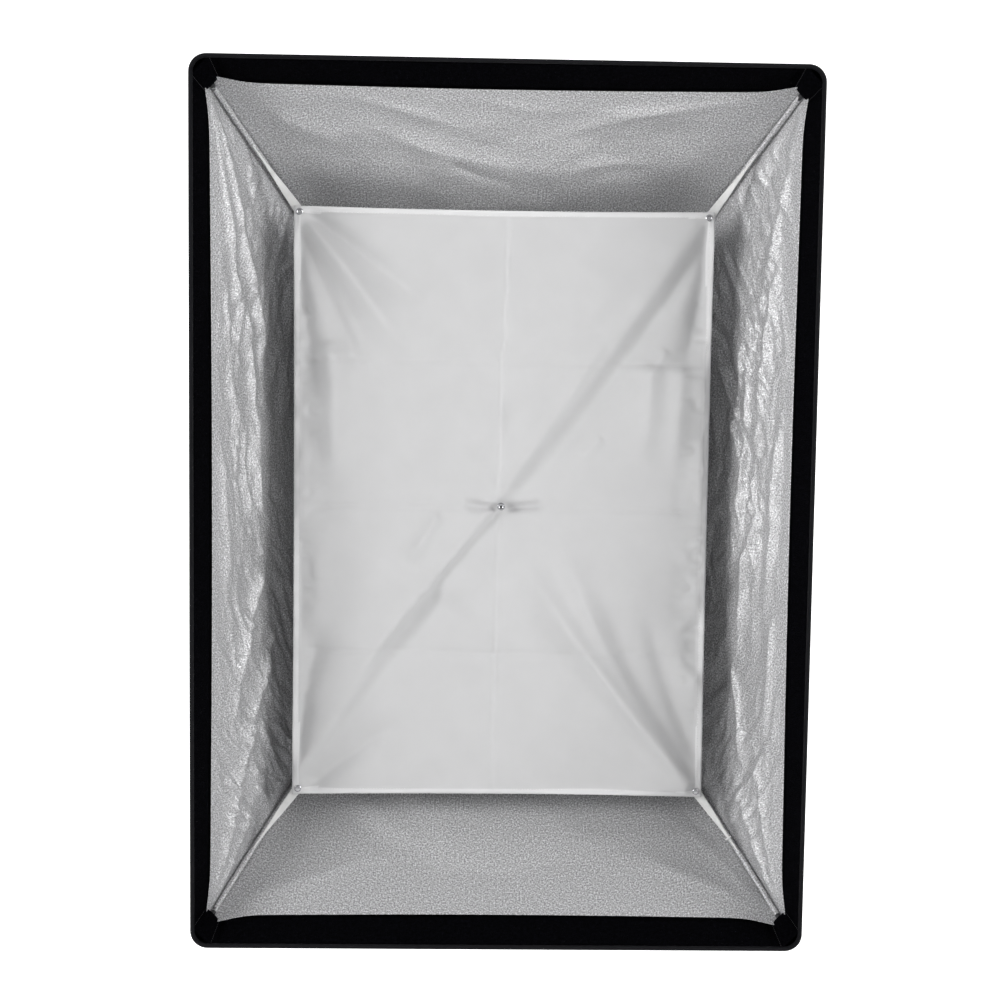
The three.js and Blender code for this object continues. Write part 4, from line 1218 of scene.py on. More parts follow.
def baffle_height(u, v, half_x, half_z, settings):
    """Forward height of the baffle's folds, creases and puckers."""
    height = np.zeros_like(u)
    half = np.array([half_x, half_z])
    for start, end, width, rise, bend, spread in BAFFLE_FOLDS:
        high = 3.2 * rise * settings.fold
        height += crease(u, v, start * half, end * half, width, high, bend, spread, 1.7)
    for start, end, steep, broad, rise, bend, fade in BAFFLE_STEPS:
        height += step_fold(u, v, start * half, end * half, steep, broad, rise * settings.fold, bend, fade)
    height += pressed_creases(u, v, half_x, half_z, "height") * settings.press
    distance = np.hypot(u, v)
    angle = np.arctan2(v, u)
    dimple = -0.0055 * np.exp(-distance / 0.022)
    height += dimple + 0.0016 * np.cos(2 * angle) * np.exp(-((distance - 0.012) / 0.016) ** 2)
    border = np.minimum(half_x - np.abs(u), half_z - np.abs(v))
    side = smooth_step(half_x - np.abs(u), 0.05, 0.008) * smooth_step(np.abs(v), 0.9 * half_z, 0.55 * half_z)
    buckles = np.abs(lattice_noise(u * 0.7, v, 0.014, 207)) * 0.0032
    height += (buckles + lattice_noise(u, v, 0.03, 208) * 0.0046) * side
    height += lattice_noise(u, v, 0.12, 209) * 0.0065 + lattice_noise(u, v, 0.045, 210) * 0.0009
    for x, z in snap_places():
        height *= smooth_step(np.hypot(u - x, v - z), 0.003, 0.016)
    return height * smooth_step(border, -0.002, 0.012) + 0.0002


def snap_places():
    """Where the four snaps sit on the sheet."""
    middles = [middle_of(f"baffle_snap_{corner}") for corner in CORNERS]
    return [(middle.x, middle.z) for middle in middles]


def baffle_outline(u_share, v_share, half_x, half_z):
    """Places on the sheet, its sides drawn in a little between the corners."""
    x = u_share * (half_x - 0.0012 * (1 - v_share**2))
    z = v_share * (half_z - 0.0022 * (1 - u_share**2))
    return x, z


def inner_baffle(settings):
    """The white sheet with its doubled hem, folds and pressed creases."""
    half_x, half_z = BAFFLE_HIGH.x, BAFFLE_HIGH.z
    hem = settings.hem_width
    u_line = hem_line(half_x, hem, settings.spacing)
    v_line = hem_line(half_z, hem, settings.spacing)
    u_share, v_share = np.meshgrid(u_line / half_x, v_line / half_z)
    x, z = baffle_outline(u_share, v_share, half_x, half_z)
    border = np.minimum(half_x * (1 - np.abs(u_share)), half_z * (1 - np.abs(v_share)))
    step = 0.0005 * (1 - smooth_step(border, hem - HEM_LINE / 4, hem + HEM_LINE))
    hem_wave = lattice_noise(x, z, 0.012, 215) * 0.0005
    rise = baffle_height(x, z, half_x, half_z, settings) + step + hem_wave * (border < hem)
    points = np.stack([x, BAFFLE_LOW.y - rise + 0.0002, z], axis=2)
    base = np.stack([x, np.full_like(x, BAFFLE_LOW.y), z], axis=2)
    piece = cloth_piece("baffle_cloth", points, settings.thickness, finish_of(diffusion_cloth, settings),
                        "inner_baffle", ["inner_baffle"], base=base)
    mark_hem_and_crease_highlights(piece, half_x, half_z, hem)
    hem_stitches(half_x, half_z, hem)
    return piece


HEM_LINE = 0.0008


def hem_line(half, hem, spacing):
    """Grid lines across the sheet, with lines on both sides of the hem's inner edge."""
    inner = np.linspace(-half + hem + HEM_LINE, half - hem - HEM_LINE, int(2 * half / spacing))
    edge = half - np.array([0, 0.0025, 0.005, hem - HEM_LINE / 4])
    return np.concatenate([-edge, inner, edge[::-1]])


def mark_hem_and_crease_highlights(piece, half_x, half_z, hem):
    """Writes the attribute that the cloth's finish reads: 1 on the hem, less on the creases, where it paints a
    highlight along their tops.
    """
    places = np.array([v.co for v in piece.data.vertices])
    border = np.minimum(half_x - np.abs(places[:, 0]), half_z - np.abs(places[:, 2]))
    hem_and_highlight_mark = piece.data.attributes.new("hem", "FLOAT", "POINT")
    # Painted highlight: the creases' tops are marked to take a lighter colour, like the hem.
    creases = pressed_creases(places[:, 0], places[:, 2], half_x, half_z, "painted_highlight")
    hem_and_highlight_mark.data.foreach_set("value", np.where(border < hem + 0.0003, 1, creases).astype(np.float32))


def hem_stitches(half_x, half_z, hem):
    """A row of white stitches along the inner edge of each hem."""
    inset, count = hem - 0.0014, 60
    y = BAFFLE_LOW.y - 0.0009
    corners = [(-1, 1), (1, 1), (1, -1), (-1, -1)]
    normals = np.tile((0.0, -1.0, 0.0), (count, 1))
    bow = 1 - np.linspace(-1, 1, count)**2
    for k in range(4):
        ends = [(x * (half_x - inset), y, z * (half_z - inset)) for x, z in (corners[k], corners[(k + 1) % 4])]
        line = np.linspace(*ends, count)
        axis, drawn, half = (2, 0.0022, half_z) if k % 2 == 0 else (0, 0.0012, half_x)
        line[:, axis] *= 1 - drawn * bow / half
        stitches = stitch_mesh(f"hem_stitches_{k + 1}", line, normals, 0.0034, 0.0026, 0.0003,
                               thread("white_thread"))
        dress(stitches, "inner_baffle")


def strap(corner, settings):
    """Woven tape from behind the baffle's corner to a band round the rod, turning on the way."""
    side_x, side_z = CORNERS[corner]
    snap = middle_of("baffle_snap_top_right")
    start = np.array([snap.x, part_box("baffle_snap_top_right")[1].y + 0.0006, snap.z])
    end_y = start[1] - 0.0005
    end = np.array([ROD_X(end_y), end_y, ROD_Z(end_y)])
    direction = (end - start) / np.linalg.norm(end - start)
    start = start - direction * 0.006
    end = end + direction * 0.001
    across = np.array([-direction[2], 0, direction[0]])
    along = np.linspace(0, 1, 60)
    width = settings.strap_width * (1 - 0.82 * along**1.2)
    twist = math.radians(62) * smooth_step(along, 0.08, 0.97)
    line = start + (end - start) * along[:, None]
    line[:, 1] += 0.0006 + 0.002 * np.sin(math.pi * along) - 0.0045 * smooth_step(along, 0.3, 1)
    side = across * np.cos(twist)[:, None] + np.array([0, 1.0, 0]) * np.sin(twist)[:, None]
    spread = np.linspace(-0.5, 0.5, 9)
    grid = line[:, None] + side[:, None] * (spread[None, :] * width[:, None])[..., None]
    down, over = np.meshgrid(along * 0.09, spread * 0.01, indexing="ij")
    grid[..., 1] += lattice_noise(down, over, 0.012, 300 + list(CORNERS).index(corner)) * 0.0004
    grid = mirrored_grid(grid, side_x, side_z)
    facing_front = grid_normals(grid)[..., 1].mean() < 0
    grid = grid if facing_front else grid[:, ::-1]
    piece = cloth_piece(f"strap_{corner}", grid, 0.0009, finish_of(tape_cloth, settings), "softbox",
                        [f"baffle_strap_{corner}"])
    strap_band(corner, end_y, settings)
    if corner == "bottom_right":
        tack = line[46]
        bar_tack(tack * (side_x, 1, side_z), across * (side_x, 1, side_z), settings)
    return piece


def bar_tack(place, across, settings):
    """The knotted end of one strap: a short bar of tape across it."""
    width, height, depth = 0.0085, 0.0022, 0.0016
    deselect()
    bpy.ops.mesh.primitive_cube_add(size=1, location=(0, 0, 0), scale=(width, depth, height))
    piece = bpy.context.active_object
    piece.name = "strap_bar_tack"
    bpy.ops.object.transform_apply(scale=True)
    piece.data.materials.append(finish_of(tape_cloth, settings))
    turn = Vector((1, 0, 0)).rotation_difference(Vector(across)).to_matrix().to_4x4()
    piece.data.transform(Matrix.Translation(Vector(place) + Vector((0, -0.0012, 0))) @ turn)
    soften(piece, 0.0006)
    dress(piece, "softbox")


def strap_band(corner, end_y, settings):
    """The strap's sewn band round the rod's sleeve."""
    reach, around = 0.0026, 24
    path = rod_path(end_y + reach, end_y - reach, 0.0006)
    radius = np.full((len(path), around), 0.0026)
    grid = outward_tube(mirrored_grid(tube_grid(path, radius, around), *CORNERS[corner]))
    piece = grid_mesh(f"strap_band_{corner}", grid, finish_of(tape_cloth, settings), closed=True)
    thicken(piece, 0.0004)
    dress(piece, "softbox")


# ---------------------------------------------------------------- hardware


def snap(corner, settings):
    """Snap fastener: a domed, rolled-edge cap in front of the cloth and a socket behind it."""
    low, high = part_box(f"baffle_snap_{corner}")
    middle = middle_of(f"baffle_snap_{corner}")
    radius, depth = (high.x - low.x) / 2, high.y - low.y
    rings = [(radius * 0.12, 0), (radius * 0.55, 0.0001), (radius * 0.72, 0.00045), (radius * 0.86, 0.00015),
             (radius, 0.0006), (radius, 0.0013), (radius * 0.85, 0.0017), (radius * 0.43, 0.0017),
             (radius * 0.43, depth - 0.001), (radius * 0.95, depth - 0.001), (radius, depth - 0.0005),
             (radius * 0.9, depth), (radius * 0.2, depth)]
    place = Matrix.Translation((middle.x, low.y, middle.z)) @ facing((0, 1, 0))
    piece = turned_piece(f"snap_{corner}", rings, 40, finish_of(nickel_finish, settings), place)
    soften(piece, 0.00008)
    dress(piece, "inner_baffle", [f"baffle_snap_{corner}"])


def centre_stud(settings):
    """Eyelet stud in the middle of the baffle. A black plastic plug in its hollow is painted shade: it darkens
    the hole.
    """
    low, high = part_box("centre_stud")
    radius, depth = (high.x - low.x) / 2, high.y - low.y
    rings = [(radius * 0.02, 0.0014), (radius * 0.4, 0.0014), (radius * 0.42, 0.0004), (radius * 0.58, 0),
             (radius * 0.85, 0.0001), (radius, 0.0007), (radius * 0.97, 0.0016), (radius * 0.4, 0.0017),
             (radius * 0.4, depth - 0.001), (radius, depth - 0.001), (radius * 0.95, depth),
             (radius * 0.2, depth)]
    place = Matrix.Translation((0, low.y + 0.0004, 0)) @ facing((0, 1, 0))
    piece = turned_piece("eyelet_stud", rings, 40, finish_of(nickel_finish, settings), place)
    soften(piece, 0.00008)
    dress(piece, "inner_baffle", ["centre_stud"])
    # Painted shade: a black plug fills the eyelet's hollow to darken it.
    hollow_shade = turned_piece("stud_hollow_shade", [(0.0012, 0.0009), (0.0012, 0.0013), (0.0008, 0.0016)], 24,
                        finish_of(plastic_finish, settings), place)
    soften(hollow_shade, 0.00006)
    dress(hollow_shade, "inner_baffle")


def rod(corner, settings):
    """A drawn steel rod, bent by the pull of the cloth: a curve between its ends with a round section."""
    side_x, side_z = CORNERS[corner]
    low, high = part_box(f"rod_{corner}")
    ends = (high.y - 0.0012, low.y + 0.001)
    deselect()
    bpy.ops.curve.primitive_bezier_curve_add()
    curve = bpy.context.active_object
    mirror = Vector((side_x, 1, side_z))
    for point, y in zip(curve.data.splines[0].bezier_points, ends):
        place = rod_place(y)
        lean = Vector((ROD_X.deriv()(y), 1, ROD_Z.deriv()(y))) * (ends[1] - ends[0]) / 3
        point.handle_left_type = point.handle_right_type = "FREE"
        point.co = place * mirror
        point.handle_left = (place - lean) * mirror
        point.handle_right = (place + lean) * mirror
    curve.data.resolution_u = 72
    curve.data.bevel_depth = 0.002
    curve.data.bevel_resolution = 4
    curve.data.use_fill_caps = True
    bpy.ops.object.transform_apply(location=True)
    bpy.ops.object.convert(target="MESH")
    piece = bpy.context.active_object
    piece.name = f"steel_rod_{corner}"
    bpy.ops.object.mode_set(mode="EDIT")
    bpy.ops.mesh.select_all(action="SELECT")
    bpy.ops.mesh.remove_doubles(threshold=1e-6)
    bpy.ops.mesh.normals_make_consistent(inside=False)
    bpy.ops.object.mode_set(mode="OBJECT")
    bpy.ops.object.shade_smooth_by_angle(angle=math.radians(50))
    piece.data.materials.clear()
    piece.data.materials.append(finish_of(steel_finish, settings))
    dress(piece, "softbox", [f"rod_{corner}"])


def rod_cap(corner, settings):
    """Moulded cap on the rod's front end, inside the pocket."""
    side_x, side_z = CORNERS[corner]
    end_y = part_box("rod_top_right")[0].y + 0.0012
    end = rod_place(end_y)
    direction = (end - rod_place(end_y + 0.01)).normalized()
    start = end - direction * 0.0075
    mirror = Vector((side_x, 1, side_z))
    place = Matrix.Translation(start * mirror) @ facing(direction * mirror)
    rings = [(0.0024, 0), (0.003, 0.0004), (0.003, 0.0116), (0.0025, 0.0133), (0.0014, 0.0139)]
    piece = turned_piece(f"rod_end_cap_{corner}", rings, 24, finish_of(plastic_finish, settings), place)
    soften(piece, 0.0002)
    dress(piece, "softbox", [f"rod_cap_{corner}"])


def speedring(settings):
    """The cast ring with its four inclined rod bosses and the lock screw's hole."""
    rear, front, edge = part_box("retaining_clip_1")[0].y - 0.0003, -0.022, 0.0015
    metal = finish_of(cast_finish, settings)
    rings = [(RING_BORE, front), (RING_OUTER - edge, front), (RING_OUTER, front + edge),
             (RING_OUTER, rear - edge), (RING_OUTER - edge, rear), (SEAT_RADIUS, rear),
             (SEAT_RADIUS, SEAT_Y), (RING_BORE, SEAT_Y)]
    ring = turned_piece("cast_speedring", rings, settings.round_vertices, metal, facing((0, 1, 0)), closed=True)
    for side_x, side_z in CORNERS.values():
        ring = rod_boss(ring, Vector((side_x, 1, side_z)), metal)
    throat = bar_between("throat", (0, -0.06, 0), (0, SEAT_Y, 0), RING_BORE, settings.round_vertices, metal)
    ring = combine(ring, throat, "DIFFERENCE")
    lock_y = middle_of("lock_knob").y
    hole = bar_between("hole", (0, lock_y, -0.058), (0, lock_y, -0.09), 0.0034, 24, metal)
    ring = combine(ring, hole, "DIFFERENCE")
    for x, z in clip_places():
        hole = bar_between("hole", (x, -0.0102, z), (x, 0, z), SCREW_HOLE, 16, metal)
        ring = combine(ring, hole, "DIFFERENCE")
    soften(ring, settings.edge)
    dress(ring, "softbox", ["speedring"])


def rod_boss(ring, mirror, metal):
    """Adds one bored boss that takes a rod's rear end."""
    start, end = rod_place(REAR_Y), rod_place(REAR_Y - 0.0121)
    direction = (end - start).normalized()
    boss = bar_between("boss", (start - direction * 0.004) * mirror, end * mirror, 0.0065, 32, metal)
    bore = bar_between("bore", (start - direction * 0.0004) * mirror, (end + direction * 0.004) * mirror,
                       0.00245, 20, metal)
    return combine(combine(ring, boss, "UNION"), bore, "DIFFERENCE")


def clip_places():
    """Where the three clips' screws sit round the ring, the first at the top."""
    angles = [math.pi / 2 + 2 * math.pi * i / 3 for i in range(3)]
    return [(CLIP_RADIUS * math.cos(a), CLIP_RADIUS * math.sin(a)) for a in angles]


def bayonet_insert(settings):
    """The turned insert that locks on the lamp, with three lugs."""
    metal = finish_of(cast_finish, settings)
    low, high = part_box("bayonet_insert")
    bore, collar, step, flange, step_y = 0.040, 0.044, 0.057, 0.062, -0.004
    rings = [(bore, low.y), (flange, low.y), (flange, step_y), (step, step_y), (step, 0), (collar, 0),
             (collar, high.y), (bore, high.y)]
    insert = turned_piece("bayonet_mount", rings, settings.round_vertices, metal, facing((0, 1, 0)),
                          closed=True)
    for i in range(3):
        insert = combine(insert, bayonet_lug(math.pi / 2 + 2 * math.pi * i / 3, high.y, metal), "UNION")
    soften(insert, settings.edge)
    dress(insert, "mount_insert", ["bayonet_insert"])


def bayonet_lug(angle, rear_y, metal):
    """One lug: a stretch of ring outside the insert's collar, spun from its section."""
    inner, outer, depth = 0.0435, 0.0485, 0.003
    reach = math.radians(35)
    deselect()
    bpy.ops.mesh.primitive_plane_add(size=1, location=((inner + outer) / 2, rear_y - depth / 2, 0))
    lug = bpy.context.active_object
    bpy.ops.object.mode_set(mode="EDIT")
    bpy.ops.transform.resize(value=(outer - inner, depth, 1))
    bpy.ops.mesh.spin(steps=12, angle=reach, center=(0, 0, 0), axis=(0, 1, 0))
    bpy.ops.mesh.select_all(action="SELECT")
    bpy.ops.mesh.remove_doubles(threshold=1e-7)
    bpy.ops.mesh.normals_make_consistent(inside=False)
    bpy.ops.object.mode_set(mode="OBJECT")
    bpy.ops.object.transform_apply(location=True)
    lug.data.transform(Matrix.Rotation(reach / 2 - angle, 4, "Y"))
    lug.data.materials.append(metal)
    return lug


def retaining_clip(index, settings):
    """Flat spring clip with a round end and a screw hole."""
    low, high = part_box("retaining_clip_1")
    steel = finish_of(steel_finish, settings)
    deselect()
    bpy.ops.mesh.primitive_cube_add(size=1, location=middle_of("retaining_clip_1"), scale=high - low)
    clip = bpy.context.active_object
    bpy.ops.object.transform_apply(location=True, scale=True)
    clip.name = f"spring_clip_{index + 1}"
    clip.data.materials.append(steel)
    round_clip_end(clip, high.z)
    hole = bar_between("hole", (0, low.y - MM, CLIP_RADIUS), (0, high.y + MM, CLIP_RADIUS), SCREW_HOLE, 20,
                       steel)
    clip = combine(clip, hole, "DIFFERENCE")
    clip.data.transform(Matrix.Rotation(-2 * math.pi * index / 3, 4, "Y"))
    soften(clip, 0.00025)
    dress(clip, "softbox", [f"retaining_clip_{index + 1}"])


def round_clip_end(clip, top):
    """Bevels the clip's two outer corners into a half round."""
    for polygon in clip.data.polygons:
        polygon.select = False
    for edge in clip.data.edges:
        ends = [clip.data.vertices[i].co for i in edge.vertices]
        edge.select = all(p.z > top - 1e-5 for p in ends) and abs(ends[0].x - ends[1].x) < 1e-6
    bpy.ops.object.mode_set(mode="EDIT")
    bpy.ops.mesh.select_mode(type="EDGE")
    bpy.ops.mesh.bevel(offset=0.0055, segments=8, affect="EDGES")
    bpy.ops.object.mode_set(mode="OBJECT")


def clip_screw(index, settings):
    """Pan-head screw with a hexagon socket."""
    low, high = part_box("clip_screw_1")
    nickel = finish_of(nickel_finish, settings)
    length, head, shank = high.y - low.y, 0.003, 0.0015
    rings = [(0.0011, 0), (shank, 0.0006), (shank, length - 0.0012), (head, length - 0.0012),
             (head, length - 0.0004), (0.0024, length), (0.0004, length)]
    place = Matrix.Translation((0, low.y, CLIP_RADIUS)) @ facing((0, 1, 0))
    screw = turned_piece(f"hex_screw_{index + 1}", rings, 32, nickel, place)
    socket = bar_between("socket", (0, high.y - 0.0007, CLIP_RADIUS), (0, high.y + MM, CLIP_RADIUS),
                         0.0014, 6, nickel)
    screw = combine(screw, socket, "DIFFERENCE")
    screw.data.transform(Matrix.Rotation(-2 * math.pi * index / 3, 4, "Y"))
    soften(screw, 0.0001)
    dress(screw, "softbox", [f"clip_screw_{index + 1}"])


def lock_knob(settings):
    """Fluted thumbscrew under the speedring."""
    low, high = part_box("lock_knob")
    lock_y = middle_of("lock_knob").y
    head_radius, head_height = (high.y - low.y) / 2, 0.012
    length = high.z - low.z
    plastic = finish_of(plastic_finish, settings)
    place = Matrix.Translation((0, lock_y, low.z)) @ facing((0, 0, 1))
    rings = [(head_radius * 0.6, 0), (head_radius * 0.62, 0.0006), (head_radius * 0.92, 0.0006),
             (head_radius, 0.0018), (head_radius, 0.0108), (head_radius * 0.9, head_height),
             (0.006, head_height), (0.006, 0.0165)]
    knob = turned_piece("thumbscrew_head", rings, 72, plastic, place)
    flutes, flute_radius, flute_reach = 12, 0.0023, 1.14 * head_radius
    for i in range(flutes):
        angle = 2 * math.pi * i / flutes
        x, y = flute_reach * math.cos(angle), lock_y + flute_reach * math.sin(angle)
        groove = bar_between("groove", (x, y, low.z - 0.002), (x, y, low.z + 0.016), flute_radius, 16, plastic)
        knob = combine(knob, groove, "DIFFERENCE")
    soften(knob, 0.0003)
    dress(knob, "lock_knob", ["lock_knob"])
    shank_rings = [(0.003, 0.0155), (0.003, length - 0.0015), (0.0022, length)]
    shank = turned_piece("thumbscrew_shank", shank_rings, 32, finish_of(steel_finish, settings), place)
    soften(shank, 0.0002)
    dress(shank, "lock_knob")


# ---------------------------------------------------------------- rear collar


def flat_patch(low, high, columns, rows):
    """A grid over a box in X and Y, at level 0."""
    x, y = np.meshgrid(np.linspace(low.x, high.x, columns), np.linspace(high.y, low.y, rows))
    return np.stack([x, y, np.zeros_like(x)], axis=2)


def collar_wall(wall, settings):
    """One sewn wall of the rear collar."""
    side = WALLS[wall][1]
    low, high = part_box(f"collar_{wall}")
    outer_z = max(abs(low.z), abs(high.z))
    base = flat_patch(low, high, 68, 24)
    base[..., 2] = side * (outer_z - 0.0001)
    base = faced(base, inward=False)
    u, v = sheet_lengths(base)
    points = base.copy()
    points[..., 2] -= side * np.maximum(lattice_noise(u, v, 0.03, 400 + side), 0) * 0.0002
    piece = cloth_piece(f"collar_cloth_{wall}", points, 0.0014, finish_of(nylon_cloth, settings), "softbox",
                        [f"collar_{wall}"], base=base)
    if side < 0:
        open_notch(piece)
    collar_stitches(wall, low, high, side, outer_z)
    return piece


def open_notch(piece):
    """Cuts the slot in the lower collar wall that the lock screw passes through."""
    deselect()
    bpy.ops.mesh.primitive_cube_add(size=1, location=(0, 0.016, -0.081), scale=(0.0102, 0.061, 0.01))
    tool = bpy.context.active_object
    bpy.ops.object.transform_apply(location=True, scale=True)
    combine(piece, tool, "DIFFERENCE")


def collar_stitches(wall, low, high, side, outer_z):
    """A row of black stitches along the collar's rear edge. Below, it starts beside the notch."""
    inset = 0.002
    start = low.x + inset if side > 0 else 0.008
    line = np.array([[x, high.y - 0.003, side * outer_z] for x in (start, high.x - inset)])
    normals = np.tile((0.0, 0.0, float(side)), (2, 1))
    stitches = stitch_mesh(f"collar_{wall}_stitches", line, normals, 0.0032, 0.0024, 0.0003,
                           thread("black_thread"))
    dress(stitches, "softbox")


def access_flap(side_name, settings):
    """Side flap with a tab over each sewn wall, cut from one piece and folded at the corners."""
    side = 1 if side_name == "right" else -1
    low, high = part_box("access_flap_right")
    tab_low, tab_high = -0.004, 0.022
    strips = []
    for x, z, openness in flap_outline(low.x, high.x - 0.0001, high.z - 0.0001, 0.0022):
        y_low = tab_low * (1 - openness) + low.y * openness
        y_high = tab_high * (1 - openness) + high.y * openness
        y = np.linspace(y_low, y_high, 18)
        strips.append(np.stack([np.full_like(y, x), y, np.full_like(y, z)], axis=1))
    grid = faced(np.stack(strips) * (side, 1, 1), inward=False)
    return cloth_piece(f"flap_cloth_{side_name}", grid, 0.0013, finish_of(nylon_cloth, settings),
                       f"access_flap_{side_name}", [f"access_flap_{side_name}"])


def flap_outline(reach_x, plate_x, top_z, bend):
    """Down the flap from one tab's end to the other: x, z and how far the cut has widened."""
    points = []
    for x in np.linspace(reach_x, plate_x - bend, 12):
        points.append((x, top_z, 0.0))
    for a in np.linspace(0, math.pi / 2, 6)[1:]:
        points.append((plate_x - bend + bend * math.sin(a), top_z - bend + bend * math.cos(a), 0.0))
    points.append((plate_x, top_z - bend - 0.0006, 0.55))
    for z in np.linspace(top_z - bend - 0.0015, 0, 30):
        points.append((plate_x, z, 1.0))
    return points + [(x, -z, openness) for x, z, openness in reversed(points[:-1])]


# ---------------------------------------------------------------- stage


def camera_stage(settings):
    """Camera in front of and slightly above the box, looking a little down at it."""
    data = bpy.data.cameras.new("camera")
    data.lens = settings.lens
    data.clip_end = 60
    camera = bpy.data.objects.new("camera", data)
    bpy.context.scene.collection.objects.link(camera)
    camera.location = (-0.033, FRONT_LOW.y - settings.distance, 0.119)
    yaw, pitch, roll = math.radians(1.12), math.radians(3.93), math.radians(0.77)
    aim = Matrix.Rotation(-yaw, 4, "Z") @ Matrix.Rotation(math.pi / 2 - pitch, 4, "X")
    camera.rotation_euler = (aim @ Matrix.Rotation(roll, 4, "Z")).to_euler()
    bpy.context.scene.camera = camera


def floor_stage(settings):
    """A wide pale floor far below the box, and an even white backdrop behind it."""
    glowing, _, glowing_shader = new_finish("pale_backdrop", settings.floor_colour, 0.9)
    plain, _, plain_shader = new_finish("pale_floor", settings.floor_colour, 0.9)
    glowing_shader.inputs["Emission Color"].default_value = (1, 1, 1, 1)
    glowing_shader.inputs["Emission Strength"].default_value = settings.backdrop
    for shader in (glowing_shader, plain_shader):
        shader.inputs["Specular IOR Level"].default_value = 0.1
    size, glow_start, backdrop_y = 40, 0.8, 12
    for name, place, turn, finish in (
        ("floor", (0, glow_start - size / 2, settings.floor), 0, plain),
        ("backdrop_foot", (0, glow_start + size / 2, settings.floor), 0, glowing),
        ("backdrop", (0, backdrop_y, 0), math.pi / 2, glowing),
    ):
        deselect()
        bpy.ops.mesh.primitive_plane_add(size=size, location=place, rotation=(turn, 0, 0))
        plane = bpy.context.active_object
        plane.name = name
        plane.data.materials.append(finish)


def room_light(settings):
    """Even light from all round, weaker from above."""
    world = bpy.data.worlds.new("soft_room")
    bpy.context.scene.world = world
    world.use_nodes = True
    tree = world.node_tree
    background = tree.nodes["Background"]
    background.inputs["Strength"].default_value = settings.sky
    place = tree.nodes.new("ShaderNodeTexCoord")
    parts = tree.nodes.new("ShaderNodeSeparateXYZ")
    tree.links.new(place.outputs["Generated"], parts.inputs["Vector"])
    tone = ramp(tree, parts.outputs["Z"], [(0.0, grey(1.0)), (0.7, grey(0.3))])
    tree.links.new(tone, background.inputs["Color"])


def light_stage(settings):
    """The room's light and five square lamps, the key one at the left, all aimed at the box."""
    room_light(settings)
    for name, place, size, power in (
        ("key_lamp", (-1.95, -1.9, 0.6), 0.9, settings.key),
        ("right_lamp", (2.2, -1.7, 0.5), 1.3, 1.15 * settings.side),
        ("left_lamp", (-2.4, -1.3, 0.1), 1.3, 0.42 * settings.side),
        ("upper_lamp", (0.5, -1.1, 2.6), 1.2, 0.05 * settings.side),
        ("rear_lamp", (1.2, 2.2, 1.6), 1.8, settings.key),
    ):
        data = bpy.data.lights.new(name, "AREA")
        data.shape = "SQUARE"
        data.size = size
        data.energy = power
        lamp = bpy.data.objects.new(name, data)
        bpy.context.scene.collection.objects.link(lamp)
        lamp.location = place
        aim = Vector((0, -0.2, 0)) - Vector(place)
        lamp.rotation_euler = aim.to_track_quat("-Z", "Y").to_euler()
    bpy.context.scene.view_settings.view_transform = "Standard"


# ---------------------------------------------------------------- operators


class SOFTBOX_OT_stage(bpy.types.Operator):
    """Make the camera, floor and lights"""

    bl_idname = "softbox.stage"
    bl_label = "Stage"

    def execute(self, context):
        settings = context.scene.softbox_stage
        camera_stage(settings)
        floor_stage(settings)
        light_stage(settings)
        return {"FINISHED"}


class SOFTBOX_OT_lining(bpy.types.Operator):
    """Make the four silver walls and the tunnels that the rods run in"""

    bl_idname = "softbox.lining"
    bl_label = "Silver lining"

    def execute(self, context):
        settings = context.scene.softbox_cloth
        for wall in WALLS:
            lining_wall(wall, settings)
        for corner in CORNERS:
            rod_sleeve(corner, settings)
        return {"FINISHED"}


class SOFTBOX_OT_shell(bpy.types.Operator):
    """Make the black outer walls and the seam tape down their corners"""

    bl_idname = "softbox.shell"
    bl_label = "Outer shell"

    def execute(self, context):
        settings = context.scene.softbox_cloth
        for wall in WALLS:
            shell_wall(wall, settings)
        for corner in CORNERS:
            corner_piping(corner, settings)
        return {"FINISHED"}


class SOFTBOX_OT_lip(bpy.types.Operator):
    """Make the lip with its hook tape, corner pockets and binding"""

    bl_idname = "softbox.lip"
    bl_label = "Lip"

    def execute(self, context):
        settings = context.scene.softbox_cloth
        lip_band(settings)
        lip_facing(settings)
        front_binding(settings)
        for wall in WALLS:
            hook_strip(wall, settings)
        for corner in CORNERS:
            corner_pocket(corner, settings)
        return {"FINISHED"}


class SOFTBOX_OT_baffle(bpy.types.Operator):
    """Make the inner baffle with its hem, folds and creases"""

    bl_idname = "softbox.baffle"
    bl_label = "Inner baffle"

    def execute(self, context):
        inner_baffle(context.scene.softbox_baffle)
        return {"FINISHED"}


class SOFTBOX_OT_straps(bpy.types.Operator):
    """Make the four straps and their bands round the rods"""

    bl_idname = "softbox.straps"
    bl_label = "Straps"

    def execute(self, context):
        for corner in CORNERS:
            strap(corner, context.scene.softbox_baffle)
        return {"FINISHED"}


class SOFTBOX_OT_snaps(bpy.types.Operator):
    """Make the corner snaps and the stud in the middle"""

    bl_idname = "softbox.snaps"
    bl_label = "Snaps and stud"

    def execute(self, context):
        settings = context.scene.softbox_hardware
        for corner in CORNERS:
            snap(corner, settings)
        centre_stud(settings)
        return {"FINISHED"}


class SOFTBOX_OT_rods(bpy.types.Operator):
    """Make the four spring rods and their end caps"""

    bl_idname = "softbox.rods"
    bl_label = "Rods"

    def execute(self, context):
        settings = context.scene.softbox_hardware
        for corner in CORNERS:
            rod(corner, settings)
            rod_cap(corner, settings)
        return {"FINISHED"}


class SOFTBOX_OT_speedring(bpy.types.Operator):
    """Make the speedring, the bayonet insert, its clips and its screws"""

    bl_idname = "softbox.speedring"
    bl_label = "Speedring"

    def execute(self, context):
        settings = context.scene.softbox_hardware
        speedring(settings)
        bayonet_insert(settings)
        for index in range(3):
            retaining_clip(index, settings)
            clip_screw(index, settings)
        return {"FINISHED"}


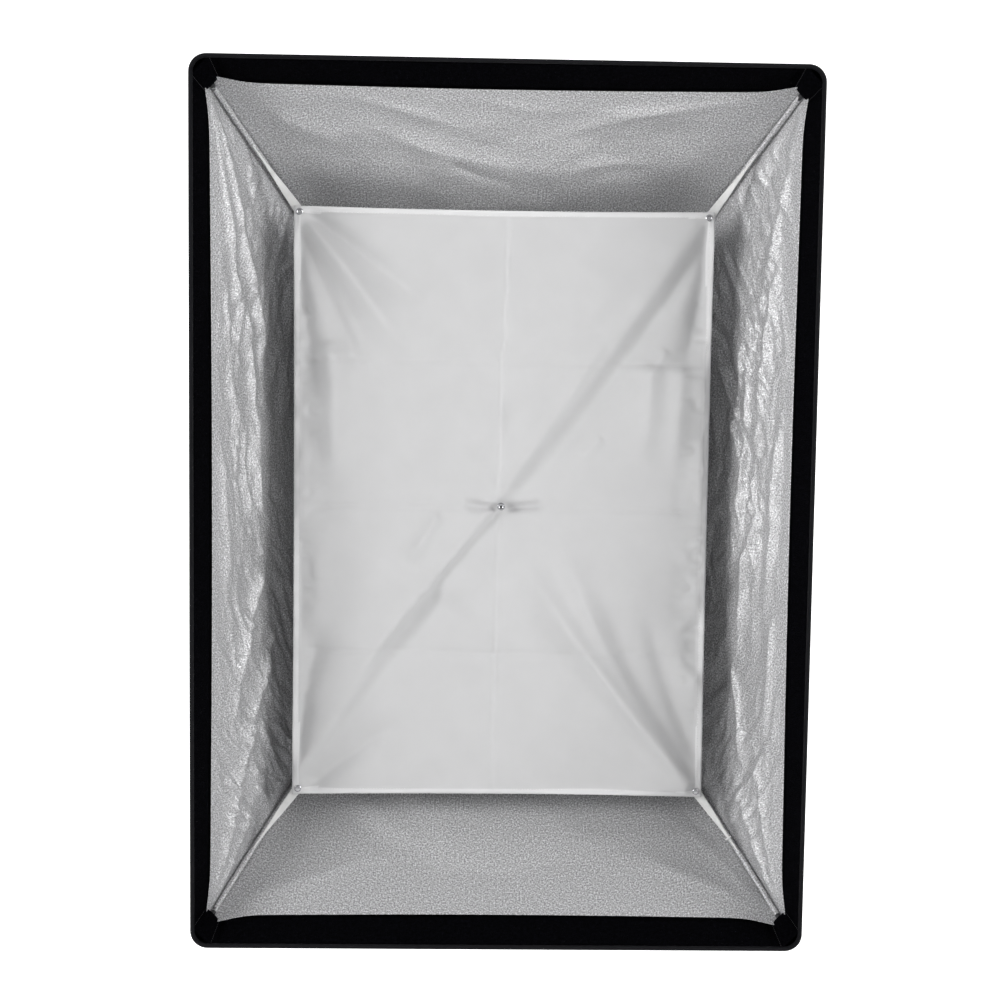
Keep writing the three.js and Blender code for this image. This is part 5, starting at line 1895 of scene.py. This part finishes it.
class SOFTBOX_OT_lock_knob(bpy.types.Operator):
    """Make the thumbscrew that locks the speedring"""

    bl_idname = "softbox.lock_knob"
    bl_label = "Thumbscrew"

    def execute(self, context):
        lock_knob(context.scene.softbox_hardware)
        return {"FINISHED"}


class SOFTBOX_OT_collar(bpy.types.Operator):
    """Make the rear collar's sewn walls and its two side flaps"""

    bl_idname = "softbox.collar"
    bl_label = "Rear collar"

    def execute(self, context):
        settings = context.scene.softbox_cloth
        collar_wall("top", settings)
        collar_wall("bottom", settings)
        access_flap("left", settings)
        access_flap("right", settings)
        return {"FINISHED"}


OPERATORS = (
    SOFTBOX_OT_stage,
    SOFTBOX_OT_lining,
    SOFTBOX_OT_shell,
    SOFTBOX_OT_lip,
    SOFTBOX_OT_baffle,
    SOFTBOX_OT_straps,
    SOFTBOX_OT_snaps,
    SOFTBOX_OT_rods,
    SOFTBOX_OT_speedring,
    SOFTBOX_OT_lock_knob,
    SOFTBOX_OT_collar,
)
SETTINGS = {
    "softbox_cloth": SoftboxClothSettings,
    "softbox_baffle": SoftboxBaffleSettings,
    "softbox_hardware": SoftboxHardwareSettings,
    "softbox_stage": SoftboxStageSettings,
}


class SOFTBOX_PT_panel(bpy.types.Panel):
    """Lists the softbox's settings and the operators that make it"""

    bl_idname = "SOFTBOX_PT_panel"
    bl_label = "Strip softbox"
    bl_space_type = "VIEW_3D"
    bl_region_type = "UI"
    bl_category = "Softbox"

    def draw(self, context):
        layout = self.layout
        for name, group in SETTINGS.items():
            box = layout.box()
            box.label(text=group.__doc__)
            for key in group.__annotations__:
                box.prop(getattr(context.scene, name), key)
        for operator in OPERATORS:
            layout.operator(operator.bl_idname)


def register():
    for name, group in SETTINGS.items():
        bpy.utils.register_class(group)
        setattr(bpy.types.Scene, name, PointerProperty(type=group))
    for operator in OPERATORS:
        bpy.utils.register_class(operator)
    bpy.utils.register_class(SOFTBOX_PT_panel)


def unregister():
    bpy.utils.unregister_class(SOFTBOX_PT_panel)
    for operator in reversed(OPERATORS):
        bpy.utils.unregister_class(operator)
    for name, group in SETTINGS.items():
        delattr(bpy.types.Scene, name)
        bpy.utils.unregister_class(group)


def main():
    register()
    for operator in OPERATORS:
        group, action = operator.bl_idname.split(".")
        getattr(getattr(bpy.ops, group), action)()


if __name__ == "__main__":
    main()
